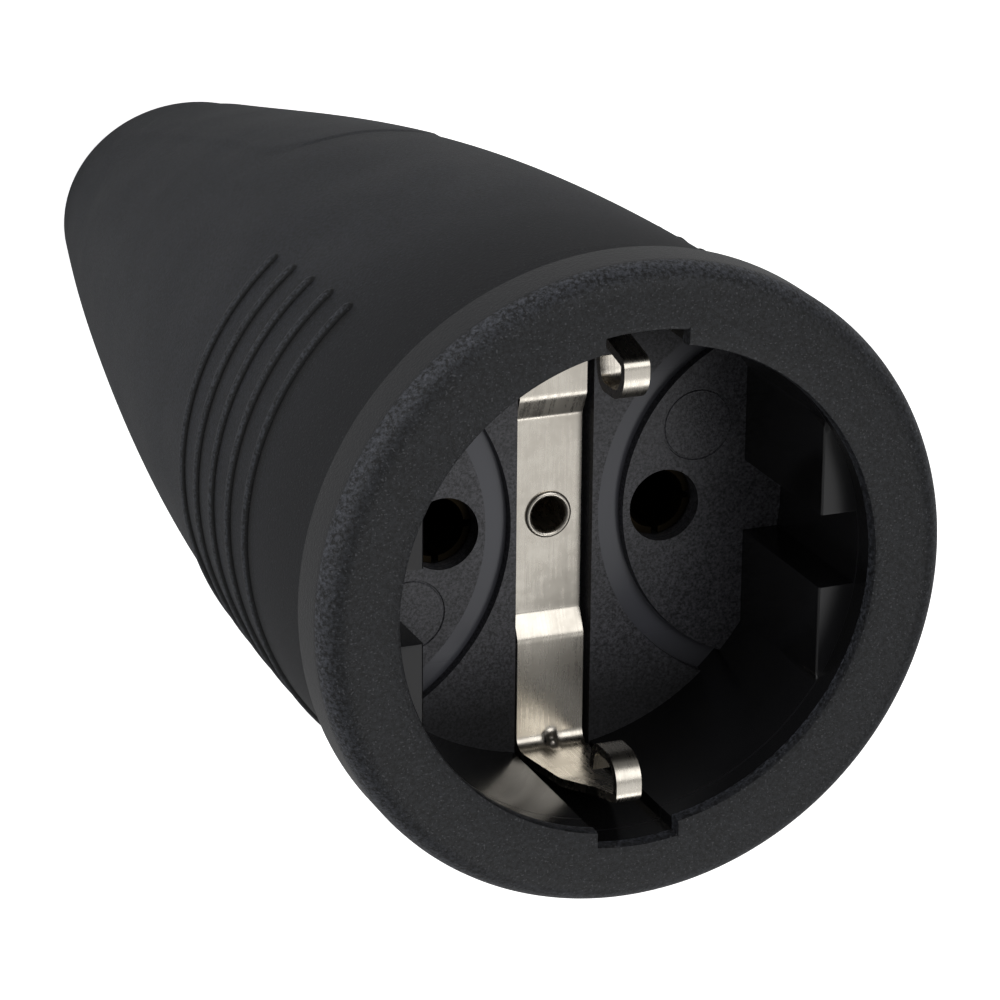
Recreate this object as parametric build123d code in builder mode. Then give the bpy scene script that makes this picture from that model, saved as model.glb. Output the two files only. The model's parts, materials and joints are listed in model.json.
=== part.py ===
"""Inline socket connector with side earth clips: a rubber sleeve round a moulded socket insert.

The part stands on the flat end of its tail with the mouth upwards, so +Z runs along the axis and out
of the mouth. The pins lie along X and the earth strap along Y. The origin is the centre of the tail's
end face. Lengths are millimetres, and every depth is counted from the mouth towards the tail.
"""

import os

from build123d import *

# Overall
body_length = 112.0

# Well that takes the plug, a little wider behind the rubber's mouth
mouth_diameter = 39.2
well_diameter = 39.6
well_depth = 17.5
pin_spacing = 19.0
pin_hole_diameter = 6.0
pin_hole_length = 1.6
floor_thickness = 4.0

# Rubber housing
collar_diameter = 51.7
collar_width = 5.2
collar_front_fillet = 2.2
neck_diameter = 49.6
neck_end_depth = 9.6
mouth_edge = 0.35
lip_thickness = 1.2
tail_fillet = 1.5
grip_length = 20.4
shoulder_length = 25.0
waist_length = 20.0
tail_length = 12.0
# width and height of the sleeve's oval sections, from the neck to the tail's end
sleeve_ovals = ((49.0, 48.7), (48.7, 47.4), (44.9, 43.3), (37.6, 34.9), (30.0, 26.6), (24.6, 21.8))
chamber_diameter = 36.6
chamber_end_gap = 0.5
cable_bore_diameter = 13.5
cable_bore_length = 12.0
seal_lip_height = 0.75
seal_lip_width = 1.5

# Grip ribs and thumb pads on the housing
rib_count = 5
rib_first_depth = 21.3
rib_pitch = 4.35
rib_width = 1.0
rib_height = 0.4
rib_inset = 15.6
pad_length = 44.0
pad_tail_gap = 8.0
pad_width = 16.0
pad_height = 0.15
pad_corner = 5.0

# Socket insert
insert_wall = 2.0
insert_clearance = 0.1
retaining_ring_depth = 10.5
retaining_ring_width = 2.5
retaining_ring_height = 0.9
notch_width = 6.72
notch_reach = 1.2
guide_flat = 16.53
guide_gap = 6.0
guide_front_depth = 3.4
groove_centre = 20.2
groove_outer_radius = 16.45
groove_width = 2.15
groove_depth = 0.8
mark_diameter = 6.0
mark_x = 12.3
mark_y = 6.5
mark_depth = 0.2
skirt_wall = 1.4
tower_wall = 0.9
boss_diameter = 6.4
boss_offset = 12.5
boss_hole_diameter = 3.0
boss_hole_depth = 8.0

# Earth strap
strap_width = 5.7
strap_thickness = 0.7
strap_side_gap = 0.4
strap_sink = 0.5
strap_dip = 0.9
dip_length = 16.6
joggle_run = 1.9
clip_back_gap = 0.7
clip_width = 2.1
clip_taper_start_depth = 16.5
clip_taper_end_depth = 5.6
clip_top_depth = 1.9
clip_lean_depth = 11.0
nose_radius = 14.5
fold_reach = 2.9
nose_drop = 4.25
tip_reach = 2.1
tip_drop = 4.75
joggle_bend = 1.0
foot_bend = 1.35
lean_bend = 6.0
fold_bend = 0.55
nose_bend = 1.9
tip_bend = 1.2
gusset_width = 1.2
gusset_leg = 1.7

# Hollow rivet through the strap
rivet_bore = 2.9
rivet_wall = 0.3
rivet_flange_diameter = 3.9
rivet_flange_thickness = 0.3
rivet_flange_edge = 0.18
rivet_length = 5.5

# Contact sleeves
pin_diameter = 4.8
sleeve_bore_clearance = 0.05
sleeve_wall = 0.55
sleeve_front_gap = 0.2
sleeve_slot_width = 0.6
sleeve_slot_length = 10.0
sleeve_length = 18.8
sleeve_collar_diameter = 7.8
sleeve_collar_width = 1.4
sleeve_end_wall = 0.6
spigot_diameter = 3.6
spigot_length = 3.0
spring_band_width = 1.2
spring_band_thickness = 0.6
spring_band_setback = 3.4
spring_band_gap = 1.5
fit_clearance = 0.05
loose_clearance = 0.15

# Terminals
block_size = 8.0
block_length = 10.0
wire_bore_diameter = 4.6
wire_bore_length = 6.4
terminal_screw_diameter = 4.0
terminal_head_diameter = 5.4
terminal_head_height = 1.8
terminal_head_lift = 1.6
driver_slot_width = 0.9
driver_slot_depth = 0.9
wire_plate_thickness = 0.4
wire_plate_width = 3.2
wire_plate_height = 1.0
wire_plate_lug = 2.2
post_diameter = 5.2

# Rear carrier
carrier_plate_thickness = 3.0
tower_length = 8.5
partition_thickness = 1.0
carrier_wall_height = 12.0
tray_thickness = 2.0
tray_tail_width = 25.0
tray_end_margin = 2.5
bay_clearance = 0.25

# Cord clamp
clamp_gap = 4.9
clamp_length = 7.0
clamp_screw_offset = 9.2
clamp_post_diameter = 5.6
saddle_thickness = 2.0
saddle_opening = 9.0
saddle_ear_width = 6.0
clamp_screw_diameter = 3.0
clamp_head_diameter = 5.4
clamp_head_height = 1.8
nut_across_flats = 5.5
nut_thickness = 2.4

# Carrier screws
carrier_screw_diameter = 2.9
carrier_head_diameter = 5.6
carrier_head_height = 2.0
carrier_screw_length = 10.0

# Values worked out from the sizes above
mouth_radius = mouth_diameter / 2
well_radius = well_diameter / 2
notch_radius = mouth_radius + notch_reach
insert_radius = well_radius + insert_wall
grip_end_depth = neck_end_depth + grip_length
shoulder_end_depth = grip_end_depth + shoulder_length
section_depths = (
    neck_end_depth,
    grip_end_depth,
    shoulder_end_depth,
    body_length - tail_length - waist_length,
    body_length - tail_length,
    body_length,
)
pad_centre_depth = body_length - pad_tail_gap - pad_length / 2
seat_radius = insert_radius + insert_clearance
floor_back_depth = well_depth + floor_thickness
plate_front_depth = floor_back_depth + tower_length
plate_back_depth = plate_front_depth + carrier_plate_thickness
sleeve_front_depth = well_depth + pin_hole_length + sleeve_front_gap
sleeve_inner_radius = pin_diameter / 2 + sleeve_bore_clearance
sleeve_outer_radius = sleeve_inner_radius + sleeve_wall
block_front_depth = sleeve_front_depth + sleeve_length
block_back_depth = block_front_depth + block_length
pocket_radius = sleeve_outer_radius + spring_band_thickness + loose_clearance
strap_slot_width = strap_width + 2 * strap_side_gap
strap_top_depth = well_depth + strap_sink
strap_dip_depth = strap_top_depth + strap_dip
rivet_radius = rivet_bore / 2 + rivet_wall
screw_depth = block_back_depth - wire_bore_length / 2
block_half = block_size / 2
clamp_front_depth = block_back_depth + clamp_gap
clamp_centre_depth = clamp_front_depth + clamp_length / 2
tray_end_depth = clamp_front_depth + clamp_length + tray_end_margin
chamber_end_depth = tray_end_depth + chamber_end_gap
bay_half_width = pin_spacing / 2 + block_half + bay_clearance + partition_thickness
pin_places = {"left": -pin_spacing / 2, "right": pin_spacing / 2}

os.makedirs("parts", exist_ok=True)


def level(depth):
    """Height above the tail's end face of a plane that lies this deep behind the mouth."""
    return body_length - depth


def flat_plane(depth):
    """A plane across the axis whose normal points out of the mouth."""
    return Plane.XY.offset(level(depth))


def side_plane(height, depth):
    """A plane that faces +Y at this height above the axis, centred on a depth; its x runs along +X."""
    return Plane(origin=(0, height, level(depth)), x_dir=(1, 0, 0), z_dir=(0, 1, 0))


def save(piece, name):
    """Labels a finished piece and writes it to its own file."""
    piece.part.label = name
    export_step(piece.part, "parts/" + name + ".step")


def sleeve_form(skin):
    """The sleeve's oval sections behind the neck, each grown outwards by skin, as one smooth solid."""
    with BuildPart() as form:
        for depth, (width, height) in zip(section_depths, sleeve_ovals):
            with BuildSketch(flat_plane(depth)):
                Ellipse(width / 2 + skin, height / 2 + skin)
        loft()
    return form.part


def notched_circle(depth, radius):
    """A circle across the axis at a depth, with a notch at the top and one at the bottom."""
    with BuildSketch(flat_plane(depth)) as outline:
        Circle(notch_radius)
        Rectangle(notch_width, 2 * notch_radius, mode=Mode.INTERSECT)
        Circle(radius)
    return outline.sketch


# Grip ribs: rings that follow the sleeve, kept only on its two sides
outer_form = sleeve_form(0)
rib_top_form = sleeve_form(rib_height)
pad_top_form = sleeve_form(pad_height)
root_form = sleeve_form(-rib_height)
with BuildPart() as grip_ribs:
    add(rib_top_form)
    with BuildSketch(*[flat_plane(rib_first_depth + rib_width / 2 + i * rib_pitch) for i in range(rib_count)]):
        Rectangle(collar_diameter, collar_diameter)
    extrude(amount=rib_width, mode=Mode.INTERSECT)
    with BuildSketch(Plane.XY):
        Rectangle(2 * rib_inset, collar_diameter)
    extrude(amount=body_length, mode=Mode.SUBTRACT)
    add(root_form, mode=Mode.SUBTRACT)

# Thumb pads: low raised fields on the top and the bottom of the sleeve, with round corners
with BuildPart() as thumb_pads:
    add(pad_top_form)
    add(root_form, mode=Mode.SUBTRACT)
    with BuildSketch(side_plane(-collar_diameter / 2, pad_centre_depth)):
        RectangleRounded(pad_width, pad_length, pad_corner)
    extrude(amount=collar_diameter, mode=Mode.INTERSECT)

# Rubber housing: sleeve, neck, collar and tail in one moulding
with BuildPart() as rubber_housing:
    add(outer_form)
    fillet(rubber_housing.edges().group_by(Axis.Z)[0], radius=tail_fillet)
    with BuildSketch(flat_plane(neck_end_depth)):
        Circle(neck_diameter / 2)
    extrude(amount=neck_end_depth - collar_width)
    with BuildSketch(flat_plane(collar_width)):
        Circle(collar_diameter / 2)
    extrude(amount=collar_width)
    fillet(rubber_housing.edges().group_by(Axis.Z)[-1], radius=collar_front_fillet)
    add(thumb_pads.part)
    add(grip_ribs.part)
    # inside: seat of the insert with its groove, terminal chamber, taper and cable bore
    with BuildSketch(Plane.XZ):
        with BuildLine():
            Polyline(
                (0, level(lip_thickness)),
                (seat_radius, level(lip_thickness)),
                (seat_radius, level(retaining_ring_depth - insert_clearance)),
                (seat_radius + retaining_ring_height, level(retaining_ring_depth - insert_clearance)),
                (
                    seat_radius + retaining_ring_height,
                    level(retaining_ring_depth + retaining_ring_width + insert_clearance),
                ),
                (seat_radius, level(retaining_ring_depth + retaining_ring_width + insert_clearance)),
                (seat_radius, level(plate_back_depth)),
                (chamber_diameter / 2, level(plate_back_depth)),
                (chamber_diameter / 2, level(chamber_end_depth)),
                (cable_bore_diameter / 2, cable_bore_length + 2 * seal_lip_width),
                (cable_bore_diameter / 2, cable_bore_length + seal_lip_width),
                (cable_bore_diameter / 2 - seal_lip_height, cable_bore_length + seal_lip_width / 2),
                (cable_bore_diameter / 2, cable_bore_length),
                (cable_bore_diameter / 2, 0),
                (0, 0),
                close=True,
            )
        make_face()
    revolve(axis=Axis.Z, mode=Mode.SUBTRACT)
    extrude(notched_circle(lip_thickness, mouth_radius), amount=lip_thickness, mode=Mode.SUBTRACT)
    front_edges = rubber_housing.edges().group_by(Axis.Z)[-1]
    fillet(front_edges.filter_by(lambda edge: edge.bounding_box().size.X < 2 * seat_radius), radius=mouth_edge)
save(rubber_housing, "rubber_housing")


# Socket insert: the moulded cup with its floor, guide ribs, contact towers and screw bosses
with BuildPart() as socket_insert:
    with BuildSketch(Plane.XZ):
        with BuildLine():
            Polyline(
                (0, level(lip_thickness)),
                (insert_radius, level(lip_thickness)),
                (insert_radius, level(retaining_ring_depth)),
                (insert_radius + retaining_ring_height, level(retaining_ring_depth)),
                (insert_radius + retaining_ring_height, level(retaining_ring_depth + retaining_ring_width)),
                (insert_radius, level(retaining_ring_depth + retaining_ring_width)),
                (insert_radius, level(plate_back_depth)),
                (insert_radius - skirt_wall, level(plate_back_depth)),
                (insert_radius - skirt_wall, level(floor_back_depth)),
                (0, level(floor_back_depth)),
                close=True,
            )
        make_face()
    revolve(axis=Axis.Z)
    extrude(notched_circle(well_depth, well_radius), amount=well_depth, mode=Mode.SUBTRACT)
    # guide ribs: what lies outside a flat on each side, with a gap between the two halves
    with BuildSketch(flat_plane(well_depth)):
        Circle(well_radius + insert_wall / 2)
        Rectangle(2 * guide_flat, 2 * insert_radius, mode=Mode.SUBTRACT)
        Rectangle(2 * insert_radius, guide_gap, mode=Mode.SUBTRACT)
    extrude(amount=well_depth - guide_front_depth)
    # curved grooves between the strap and the pins
    for side in (-1, 1):
        with BuildSketch(flat_plane(well_depth)):
            with Locations((side * groove_centre, 0)):
                Circle(groove_outer_radius)
                Circle(groove_outer_radius - groove_width, mode=Mode.SUBTRACT)
            Circle(well_radius, mode=Mode.INTERSECT)
        extrude(amount=-groove_depth, mode=Mode.SUBTRACT)
    # recess of the strap, deeper in the middle, and the channels up the wall behind the clips
    with BuildSketch(flat_plane(well_depth)) as strap_recess:
        Rectangle(strap_slot_width, 2 * notch_radius)
        Circle(notch_radius, mode=Mode.INTERSECT)
    extrude(amount=-(strap_sink + strap_thickness), mode=Mode.SUBTRACT)
    with BuildSketch(flat_plane(well_depth)):
        Rectangle(strap_slot_width, dip_length + 2 * joggle_run + 2 * strap_side_gap)
    extrude(amount=-(strap_sink + strap_dip + strap_thickness), mode=Mode.SUBTRACT)
    # contact towers, pin holes and the wider pockets behind them
    with BuildSketch(flat_plane(floor_back_depth)):
        with Locations(*[(x, 0) for x in pin_places.values()]):
            Circle(pocket_radius + tower_wall)
        with Locations((0, boss_offset), (0, -boss_offset)):
            Circle(boss_diameter / 2)
    extrude(amount=-tower_length)
    with BuildSketch(flat_plane(well_depth)):
        with Locations(*[(x, 0) for x in pin_places.values()]):
            Circle(pin_hole_diameter / 2)
    extrude(amount=-(pin_hole_length + fit_clearance), mode=Mode.SUBTRACT)
    with BuildSketch(flat_plane(well_depth + pin_hole_length)):
        with Locations(*[(x, 0) for x in pin_places.values()]):
            Circle(pocket_radius)
    extrude(amount=-(plate_front_depth - well_depth - pin_hole_length), mode=Mode.SUBTRACT)
    with BuildSketch(flat_plane(plate_front_depth)):
        with Locations((0, boss_offset), (0, -boss_offset)):
            Circle(boss_hole_diameter / 2)
    extrude(amount=boss_hole_depth, mode=Mode.SUBTRACT)
    with BuildSketch(flat_plane(well_depth)):
        Circle(rivet_radius + fit_clearance)
    extrude(amount=-floor_thickness, mode=Mode.SUBTRACT)
    # shallow round recesses for moulded marks, left bare
    with BuildSketch(flat_plane(well_depth)):
        with Locations((mark_x, mark_y), (-mark_x, -mark_y)):
            Circle(mark_diameter / 2)
    extrude(amount=-mark_depth, mode=Mode.SUBTRACT)
save(socket_insert, "socket_insert")

# Earth strap: one strip bent along the floor, up both channels and over into two spring clips
strap_mid_depth = strap_top_depth + strap_thickness / 2
dip_mid_depth = strap_dip_depth + strap_thickness / 2
leg_foot = notch_radius - clip_back_gap - strap_thickness / 2
nose_line = nose_radius + strap_thickness / 2
fold_line = clip_top_depth + strap_thickness / 2
leg_top = nose_line + fold_reach
half_path = [
    (dip_length / 2, level(dip_mid_depth)),
    (dip_length / 2 + joggle_run, level(strap_mid_depth)),
    (leg_foot, level(strap_mid_depth)),
    (leg_foot, level(clip_lean_depth)),
    (leg_top, level(fold_line)),
    (nose_line, level(fold_line)),
    (nose_line, level(fold_line + nose_drop)),
    (nose_line + tip_reach, level(fold_line + tip_drop)),
]
half_radii = [joggle_bend, joggle_bend, foot_bend, lean_bend, fold_bend, nose_bend, tip_bend]
strap_points = [(-y, z) for y, z in reversed(half_path)] + half_path
strap_radii = list(reversed(half_radii)) + half_radii
with BuildPart() as earth_strap:
    with BuildLine(Plane.YZ) as strap_line:
        FilletPolyline(*strap_points, radius=strap_radii)
    with BuildSketch(Plane(origin=strap_line.line @ 0, x_dir=(1, 0, 0), z_dir=strap_line.line % 0)):
        Rectangle(strap_width, strap_thickness)
    sweep(path=strap_line.line)
    # stiffening gusset in the corner where each leg stands up
    with BuildSketch(Plane.YZ.offset(-gusset_width / 2)):
        for side in (-1, 1):
            with BuildLine():
                Polyline(
                    (side * (leg_foot - strap_thickness / 2 - gusset_leg), level(strap_mid_depth)),
                    (side * leg_foot, level(strap_mid_depth)),
                    (side * leg_foot, level(strap_top_depth - gusset_leg)),
                    close=True,
                )
            make_face()
    extrude(amount=gusset_width)
    # the legs taper to the narrow clips
    with BuildSketch(Plane.XZ.offset(-collar_diameter / 2)):
        with BuildLine():
            Polyline(
                (-strap_width / 2, 0),
                (-strap_width / 2, level(clip_taper_start_depth)),
                (-clip_width / 2, level(clip_taper_end_depth)),
                (-clip_width / 2, body_length),
                (clip_width / 2, body_length),
                (clip_width / 2, level(clip_taper_end_depth)),
                (strap_width / 2, level(clip_taper_start_depth)),
                (strap_width / 2, 0),
                close=True,
            )
        make_face()
    extrude(amount=collar_diameter, mode=Mode.INTERSECT)
    with BuildSketch(flat_plane(clip_taper_start_depth)):
        Rectangle(strap_width + 1, 2 * (leg_top - strap_thickness / 2))
        Rectangle(clip_width, 2 * leg_top, mode=Mode.SUBTRACT)
    extrude(amount=clip_taper_start_depth, mode=Mode.SUBTRACT)
    with BuildSketch(flat_plane(strap_top_depth)):
        Circle(rivet_radius + fit_clearance)
    extrude(amount=-(strap_dip + strap_thickness), mode=Mode.SUBTRACT)
save(earth_strap, "earth_strap")

# Hollow rivet: its flange lies on the strap and its shank reaches into the earth terminal
with BuildPart() as strap_rivet:
    with BuildSketch(flat_plane(strap_dip_depth)):
        Circle(rivet_flange_diameter / 2)
    extrude(amount=rivet_flange_thickness)
    fillet(strap_rivet.edges().group_by(Axis.Z)[-1], radius=rivet_flange_edge)
    with BuildSketch(flat_plane(strap_dip_depth)):
        Circle(rivet_radius)
    extrude(amount=-rivet_length)
    with BuildSketch(flat_plane(strap_dip_depth + rivet_length)):
        Circle(rivet_bore / 2)
    extrude(amount=rivet_length + rivet_flange_thickness, mode=Mode.SUBTRACT)
save(strap_rivet, "strap_rivet")


def contact_sleeve(x):
    """A slotted tube that grips one pin, with a collar behind the carrier plate and a spigot."""
    with BuildPart() as sleeve:
        with BuildSketch(flat_plane(sleeve_front_depth)):
            with Locations((x, 0)):
                Circle(sleeve_outer_radius)
        extrude(amount=-sleeve_length)
        with BuildSketch(flat_plane(plate_back_depth)):
            with Locations((x, 0)):
                Circle(sleeve_collar_diameter / 2)
        extrude(amount=-sleeve_collar_width)
        with BuildSketch(flat_plane(block_front_depth)):
            with Locations((x, 0)):
                Circle(spigot_diameter / 2)
        extrude(amount=-spigot_length)
        with BuildSketch(flat_plane(sleeve_front_depth)):
            with Locations((x, 0)):
                Circle(sleeve_inner_radius)
        extrude(amount=-(sleeve_length - sleeve_end_wall), mode=Mode.SUBTRACT)
        with BuildSketch(flat_plane(sleeve_front_depth)):
            with Locations((x, 0)):
                Rectangle(3 * sleeve_outer_radius, sleeve_slot_width)
                Rectangle(sleeve_slot_width, 3 * sleeve_outer_radius)
        extrude(amount=-sleeve_slot_length, mode=Mode.SUBTRACT)
    return sleeve


def spring_band(x):
    """An open steel ring that presses a sleeve's fingers together."""
    with BuildPart() as band:
        with BuildSketch(flat_plane(sleeve_front_depth + spring_band_setback)):
            with Locations((x, 0)):
                Circle(sleeve_outer_radius + spring_band_thickness)
                Circle(sleeve_outer_radius + fit_clearance, mode=Mode.SUBTRACT)
            with Locations((x, sleeve_outer_radius)):
                Rectangle(spring_band_gap, 2 * sleeve_outer_radius, mode=Mode.SUBTRACT)
        extrude(amount=-spring_band_width)
    return band


def terminal_block(x):
    """A brass block with a blind wire bore from the rear and a tapped hole from above."""
    with BuildPart() as block:
        with BuildSketch(flat_plane(block_front_depth)):
            with Locations((x, 0)):
                Rectangle(block_size, block_size)
        extrude(amount=-block_length)
        with BuildSketch(flat_plane(block_back_depth)):
            with Locations((x, 0)):
                Circle(wire_bore_diameter / 2)
        extrude(amount=wire_bore_length, mode=Mode.SUBTRACT)
        with BuildSketch(side_plane(block_half, screw_depth)):
            with Locations((x, 0)):
                Circle(terminal_screw_diameter / 2 + fit_clearance)
        extrude(amount=-block_half, mode=Mode.SUBTRACT)
    return block.part


def slotted_screw(plane, x, shank_diameter, shank_length, head_diameter, head_height):
    """A cheese head screw: the plane is its head's underside, and its normal points at the driver."""
    with BuildPart() as screw:
        with BuildSketch(plane):
            with Locations((x, 0)):
                Circle(head_diameter / 2)
        extrude(amount=head_height)
        with BuildSketch(plane.offset(head_height)):
            with Locations((x, 0)):
                Rectangle(head_diameter + 1, driver_slot_width)
        extrude(amount=-driver_slot_depth, mode=Mode.SUBTRACT)
        with BuildSketch(plane):
            with Locations((x, 0)):
                Circle(shank_diameter / 2)
        extrude(amount=-shank_length)
    return screw


def wire_plate(x):
    """A thin leaf between a terminal screw's tip and the wire, with a lug that hooks on the block."""
    leaf_top = wire_plate_height + wire_plate_thickness
    with BuildPart() as plate:
        with BuildSketch(Plane.YZ.offset(x - wire_plate_width / 2)):
            with BuildLine():
                Polyline(
                    (wire_plate_height, level(block_back_depth - wire_bore_length + bay_clearance)),
                    (leaf_top, level(block_back_depth - wire_bore_length + bay_clearance)),
                    (leaf_top, level(block_back_depth)),
                    (leaf_top + wire_plate_lug, level(block_back_depth)),
                    (leaf_top + wire_plate_lug, level(block_back_depth + wire_plate_thickness)),
                    (wire_plate_height, level(block_back_depth + wire_plate_thickness)),
                    close=True,
                )
            make_face()
        extrude(amount=wire_plate_width)
    return plate


# Live and neutral contacts: sleeve, spring band, terminal block, screw and wire plate on each side
terminal_tip = wire_plate_height + wire_plate_thickness
terminal_shank = block_half + terminal_head_lift - terminal_tip
terminal_head_plane = side_plane(block_half + terminal_head_lift, screw_depth)
for side, x in pin_places.items():
    save(contact_sleeve(x), side + "_contact_sleeve")
    save(spring_band(x), side + "_spring_band")
    plain_block = terminal_block(x)
    with BuildPart() as contact_block:
        add(plain_block)
        with BuildSketch(flat_plane(block_front_depth)):
            with Locations((x, 0)):
                Circle(spigot_diameter / 2 + fit_clearance)
        extrude(amount=-(spigot_length + fit_clearance), mode=Mode.SUBTRACT)
    save(contact_block, side + "_terminal_block")

for side, x in (pin_places | {"earth": 0}).items():
    screw = slotted_screw(
        terminal_head_plane,
        x,
        terminal_screw_diameter,
        terminal_shank,
        terminal_head_diameter,
        terminal_head_height,
    )
    save(screw, side + "_terminal_screw")
    save(wire_plate(x), side + "_wire_plate")

# Earth terminal: the same block on a post that the strap's rivet reaches
plain_block = terminal_block(0)
with BuildPart() as earth_terminal:
    add(plain_block)
    with BuildSketch(flat_plane(floor_back_depth)):
        Circle(post_diameter / 2)
    extrude(amount=-(block_front_depth - floor_back_depth))
    with BuildSketch(flat_plane(plate_back_depth)):
        Circle(sleeve_collar_diameter / 2)
    extrude(amount=-sleeve_collar_width)
    with BuildSketch(flat_plane(floor_back_depth)):
        Circle(rivet_radius + fit_clearance)
    extrude(amount=-(strap_dip_depth + rivet_length + bay_clearance - floor_back_depth), mode=Mode.SUBTRACT)
save(earth_terminal, "earth_terminal")

# Rear carrier: plate behind the contacts, bays for the terminals and the tray of the cord clamp
clamp_places = [(-clamp_screw_offset, 0), (clamp_screw_offset, 0)]
with BuildPart() as rear_carrier:
    with BuildSketch(flat_plane(plate_front_depth)):
        Circle(insert_radius - skirt_wall - loose_clearance)
        with Locations(*[(x, 0) for x in pin_places.values()]):
            Circle(sleeve_outer_radius + loose_clearance, mode=Mode.SUBTRACT)
        with Locations((0, boss_offset), (0, -boss_offset)):
            Circle(carrier_screw_diameter / 2 + loose_clearance, mode=Mode.SUBTRACT)
        Circle(post_diameter / 2 + loose_clearance, mode=Mode.SUBTRACT)
    extrude(amount=-carrier_plate_thickness)
    bay_length = block_back_depth + bay_clearance - plate_back_depth
    with BuildSketch(flat_plane(plate_back_depth)):
        with Locations((0, carrier_wall_height / 2 - block_half - tray_thickness)):
            Rectangle(2 * bay_half_width, carrier_wall_height)
        bay_open = carrier_wall_height - tray_thickness
        bay_width = pin_spacing / 2 - partition_thickness
        with Locations(*[(x, bay_open / 2 - block_half) for x in (*pin_places.values(), 0)]):
            Rectangle(bay_width, bay_open, mode=Mode.SUBTRACT)
    extrude(amount=-bay_length)
    with BuildSketch(flat_plane(plate_back_depth)):
        with Locations((0, -block_half - tray_thickness / 2)):
            Rectangle(tray_tail_width, tray_thickness)
    extrude(amount=plate_back_depth - tray_end_depth)
    with BuildSketch(side_plane(-block_half, clamp_centre_depth)):
        with Locations(*clamp_places):
            Circle(clamp_post_diameter / 2)
    extrude(amount=block_half)
    with BuildSketch(side_plane(0, clamp_centre_depth)):
        with Locations(*clamp_places):
            Circle(clamp_screw_diameter / 2 + loose_clearance)
    extrude(amount=-(block_half + tray_thickness), mode=Mode.SUBTRACT)
save(rear_carrier, "rear_carrier")

# Carrier screws, one above and one below the contacts
with BuildPart() as carrier_screws:
    for y in (-boss_offset, boss_offset):
        with BuildSketch(flat_plane(plate_back_depth)):
            with Locations((0, y)):
                Circle(carrier_head_diameter / 2)
        extrude(amount=-carrier_head_height)
        with BuildSketch(flat_plane(plate_back_depth + carrier_head_height)):
            with Locations((0, y)):
                Rectangle(carrier_head_diameter + 1, driver_slot_width)
        extrude(amount=driver_slot_depth, mode=Mode.SUBTRACT)
        with BuildSketch(flat_plane(plate_back_depth)):
            with Locations((0, y)):
                Circle(carrier_screw_diameter / 2)
        extrude(amount=carrier_screw_length)
save(carrier_screws, "carrier_screws")

# Cord clamp: an arched saddle on two posts, with its screws and nuts
with BuildPart() as cord_saddle:
    with BuildSketch(flat_plane(clamp_front_depth)):
        with Locations((0, saddle_thickness / 2)):
            Rectangle(2 * clamp_screw_offset + saddle_ear_width, saddle_thickness)
        Circle(saddle_opening / 2 + saddle_thickness)
        Circle(saddle_opening / 2, mode=Mode.SUBTRACT)
        with Locations((0, -saddle_opening)):
            Rectangle(2 * saddle_opening, 2 * saddle_opening, mode=Mode.SUBTRACT)
    extrude(amount=-clamp_length)
    with BuildSketch(side_plane(saddle_thickness, clamp_centre_depth)):
        with Locations(*clamp_places):
            Circle(clamp_screw_diameter / 2 + loose_clearance)
    extrude(amount=-saddle_thickness, mode=Mode.SUBTRACT)
save(cord_saddle, "cord_saddle")

clamp_screw_length = saddle_thickness + block_half + tray_thickness + nut_thickness
clamp_screw_pair = [
    slotted_screw(
        side_plane(saddle_thickness, clamp_centre_depth),
        x,
        clamp_screw_diameter,
        clamp_screw_length,
        clamp_head_diameter,
        clamp_head_height,
    )
    for x, y in clamp_places
]
with BuildPart() as saddle_screws:
    for screw in clamp_screw_pair:
        add(screw.part)
save(saddle_screws, "saddle_screws")

with BuildPart() as saddle_nuts:
    with BuildSketch(side_plane(-block_half - tray_thickness, clamp_centre_depth)):
        with Locations(*clamp_places):
            RegularPolygon(nut_across_flats / 2, 6, major_radius=False)
            Circle(clamp_screw_diameter / 2 + fit_clearance, mode=Mode.SUBTRACT)
    extrude(amount=-nut_thickness)
save(saddle_nuts, "saddle_nuts")
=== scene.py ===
# %% [markdown]
# # An inline socket connector
# This lesson dresses a finished CAD model of a cord-end socket in rubber, moulded plastic and
# plated strip. The CAD model comes in as a fixed frame. Pieces that the eye meets are rebuilt here
# as numpy surfaces, and pieces that stay hidden inside only get a material.

# %% Load the frame
import json

import bpy
import numpy as np
from mathutils import Matrix, Vector


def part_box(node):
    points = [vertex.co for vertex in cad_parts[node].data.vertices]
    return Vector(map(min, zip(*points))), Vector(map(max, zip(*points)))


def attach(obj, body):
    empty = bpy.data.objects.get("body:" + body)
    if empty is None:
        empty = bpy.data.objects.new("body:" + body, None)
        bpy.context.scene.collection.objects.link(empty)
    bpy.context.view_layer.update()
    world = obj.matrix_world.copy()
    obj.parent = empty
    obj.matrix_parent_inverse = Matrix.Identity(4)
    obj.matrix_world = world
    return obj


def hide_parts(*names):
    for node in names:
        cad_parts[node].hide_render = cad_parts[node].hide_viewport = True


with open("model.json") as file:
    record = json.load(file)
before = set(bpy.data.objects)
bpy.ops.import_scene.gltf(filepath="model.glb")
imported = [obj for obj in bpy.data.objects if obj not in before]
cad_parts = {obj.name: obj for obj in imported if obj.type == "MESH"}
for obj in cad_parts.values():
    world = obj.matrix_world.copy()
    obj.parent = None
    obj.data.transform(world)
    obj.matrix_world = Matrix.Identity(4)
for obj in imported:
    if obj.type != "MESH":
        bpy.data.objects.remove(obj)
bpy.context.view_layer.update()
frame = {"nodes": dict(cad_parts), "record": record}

print("nodes in the frame:", len(frame["nodes"]))

# %% [markdown]
# ## Sizes
# Blender counts in metres, but a connector is easier to read in millimetres. So every size below is
# in millimetres, and one factor turns points into metres when a mesh is made. The part stands on
# its tail with its mouth up, and a depth is counted from the mouth down towards the tail, as a
# workshop drawing does.

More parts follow.
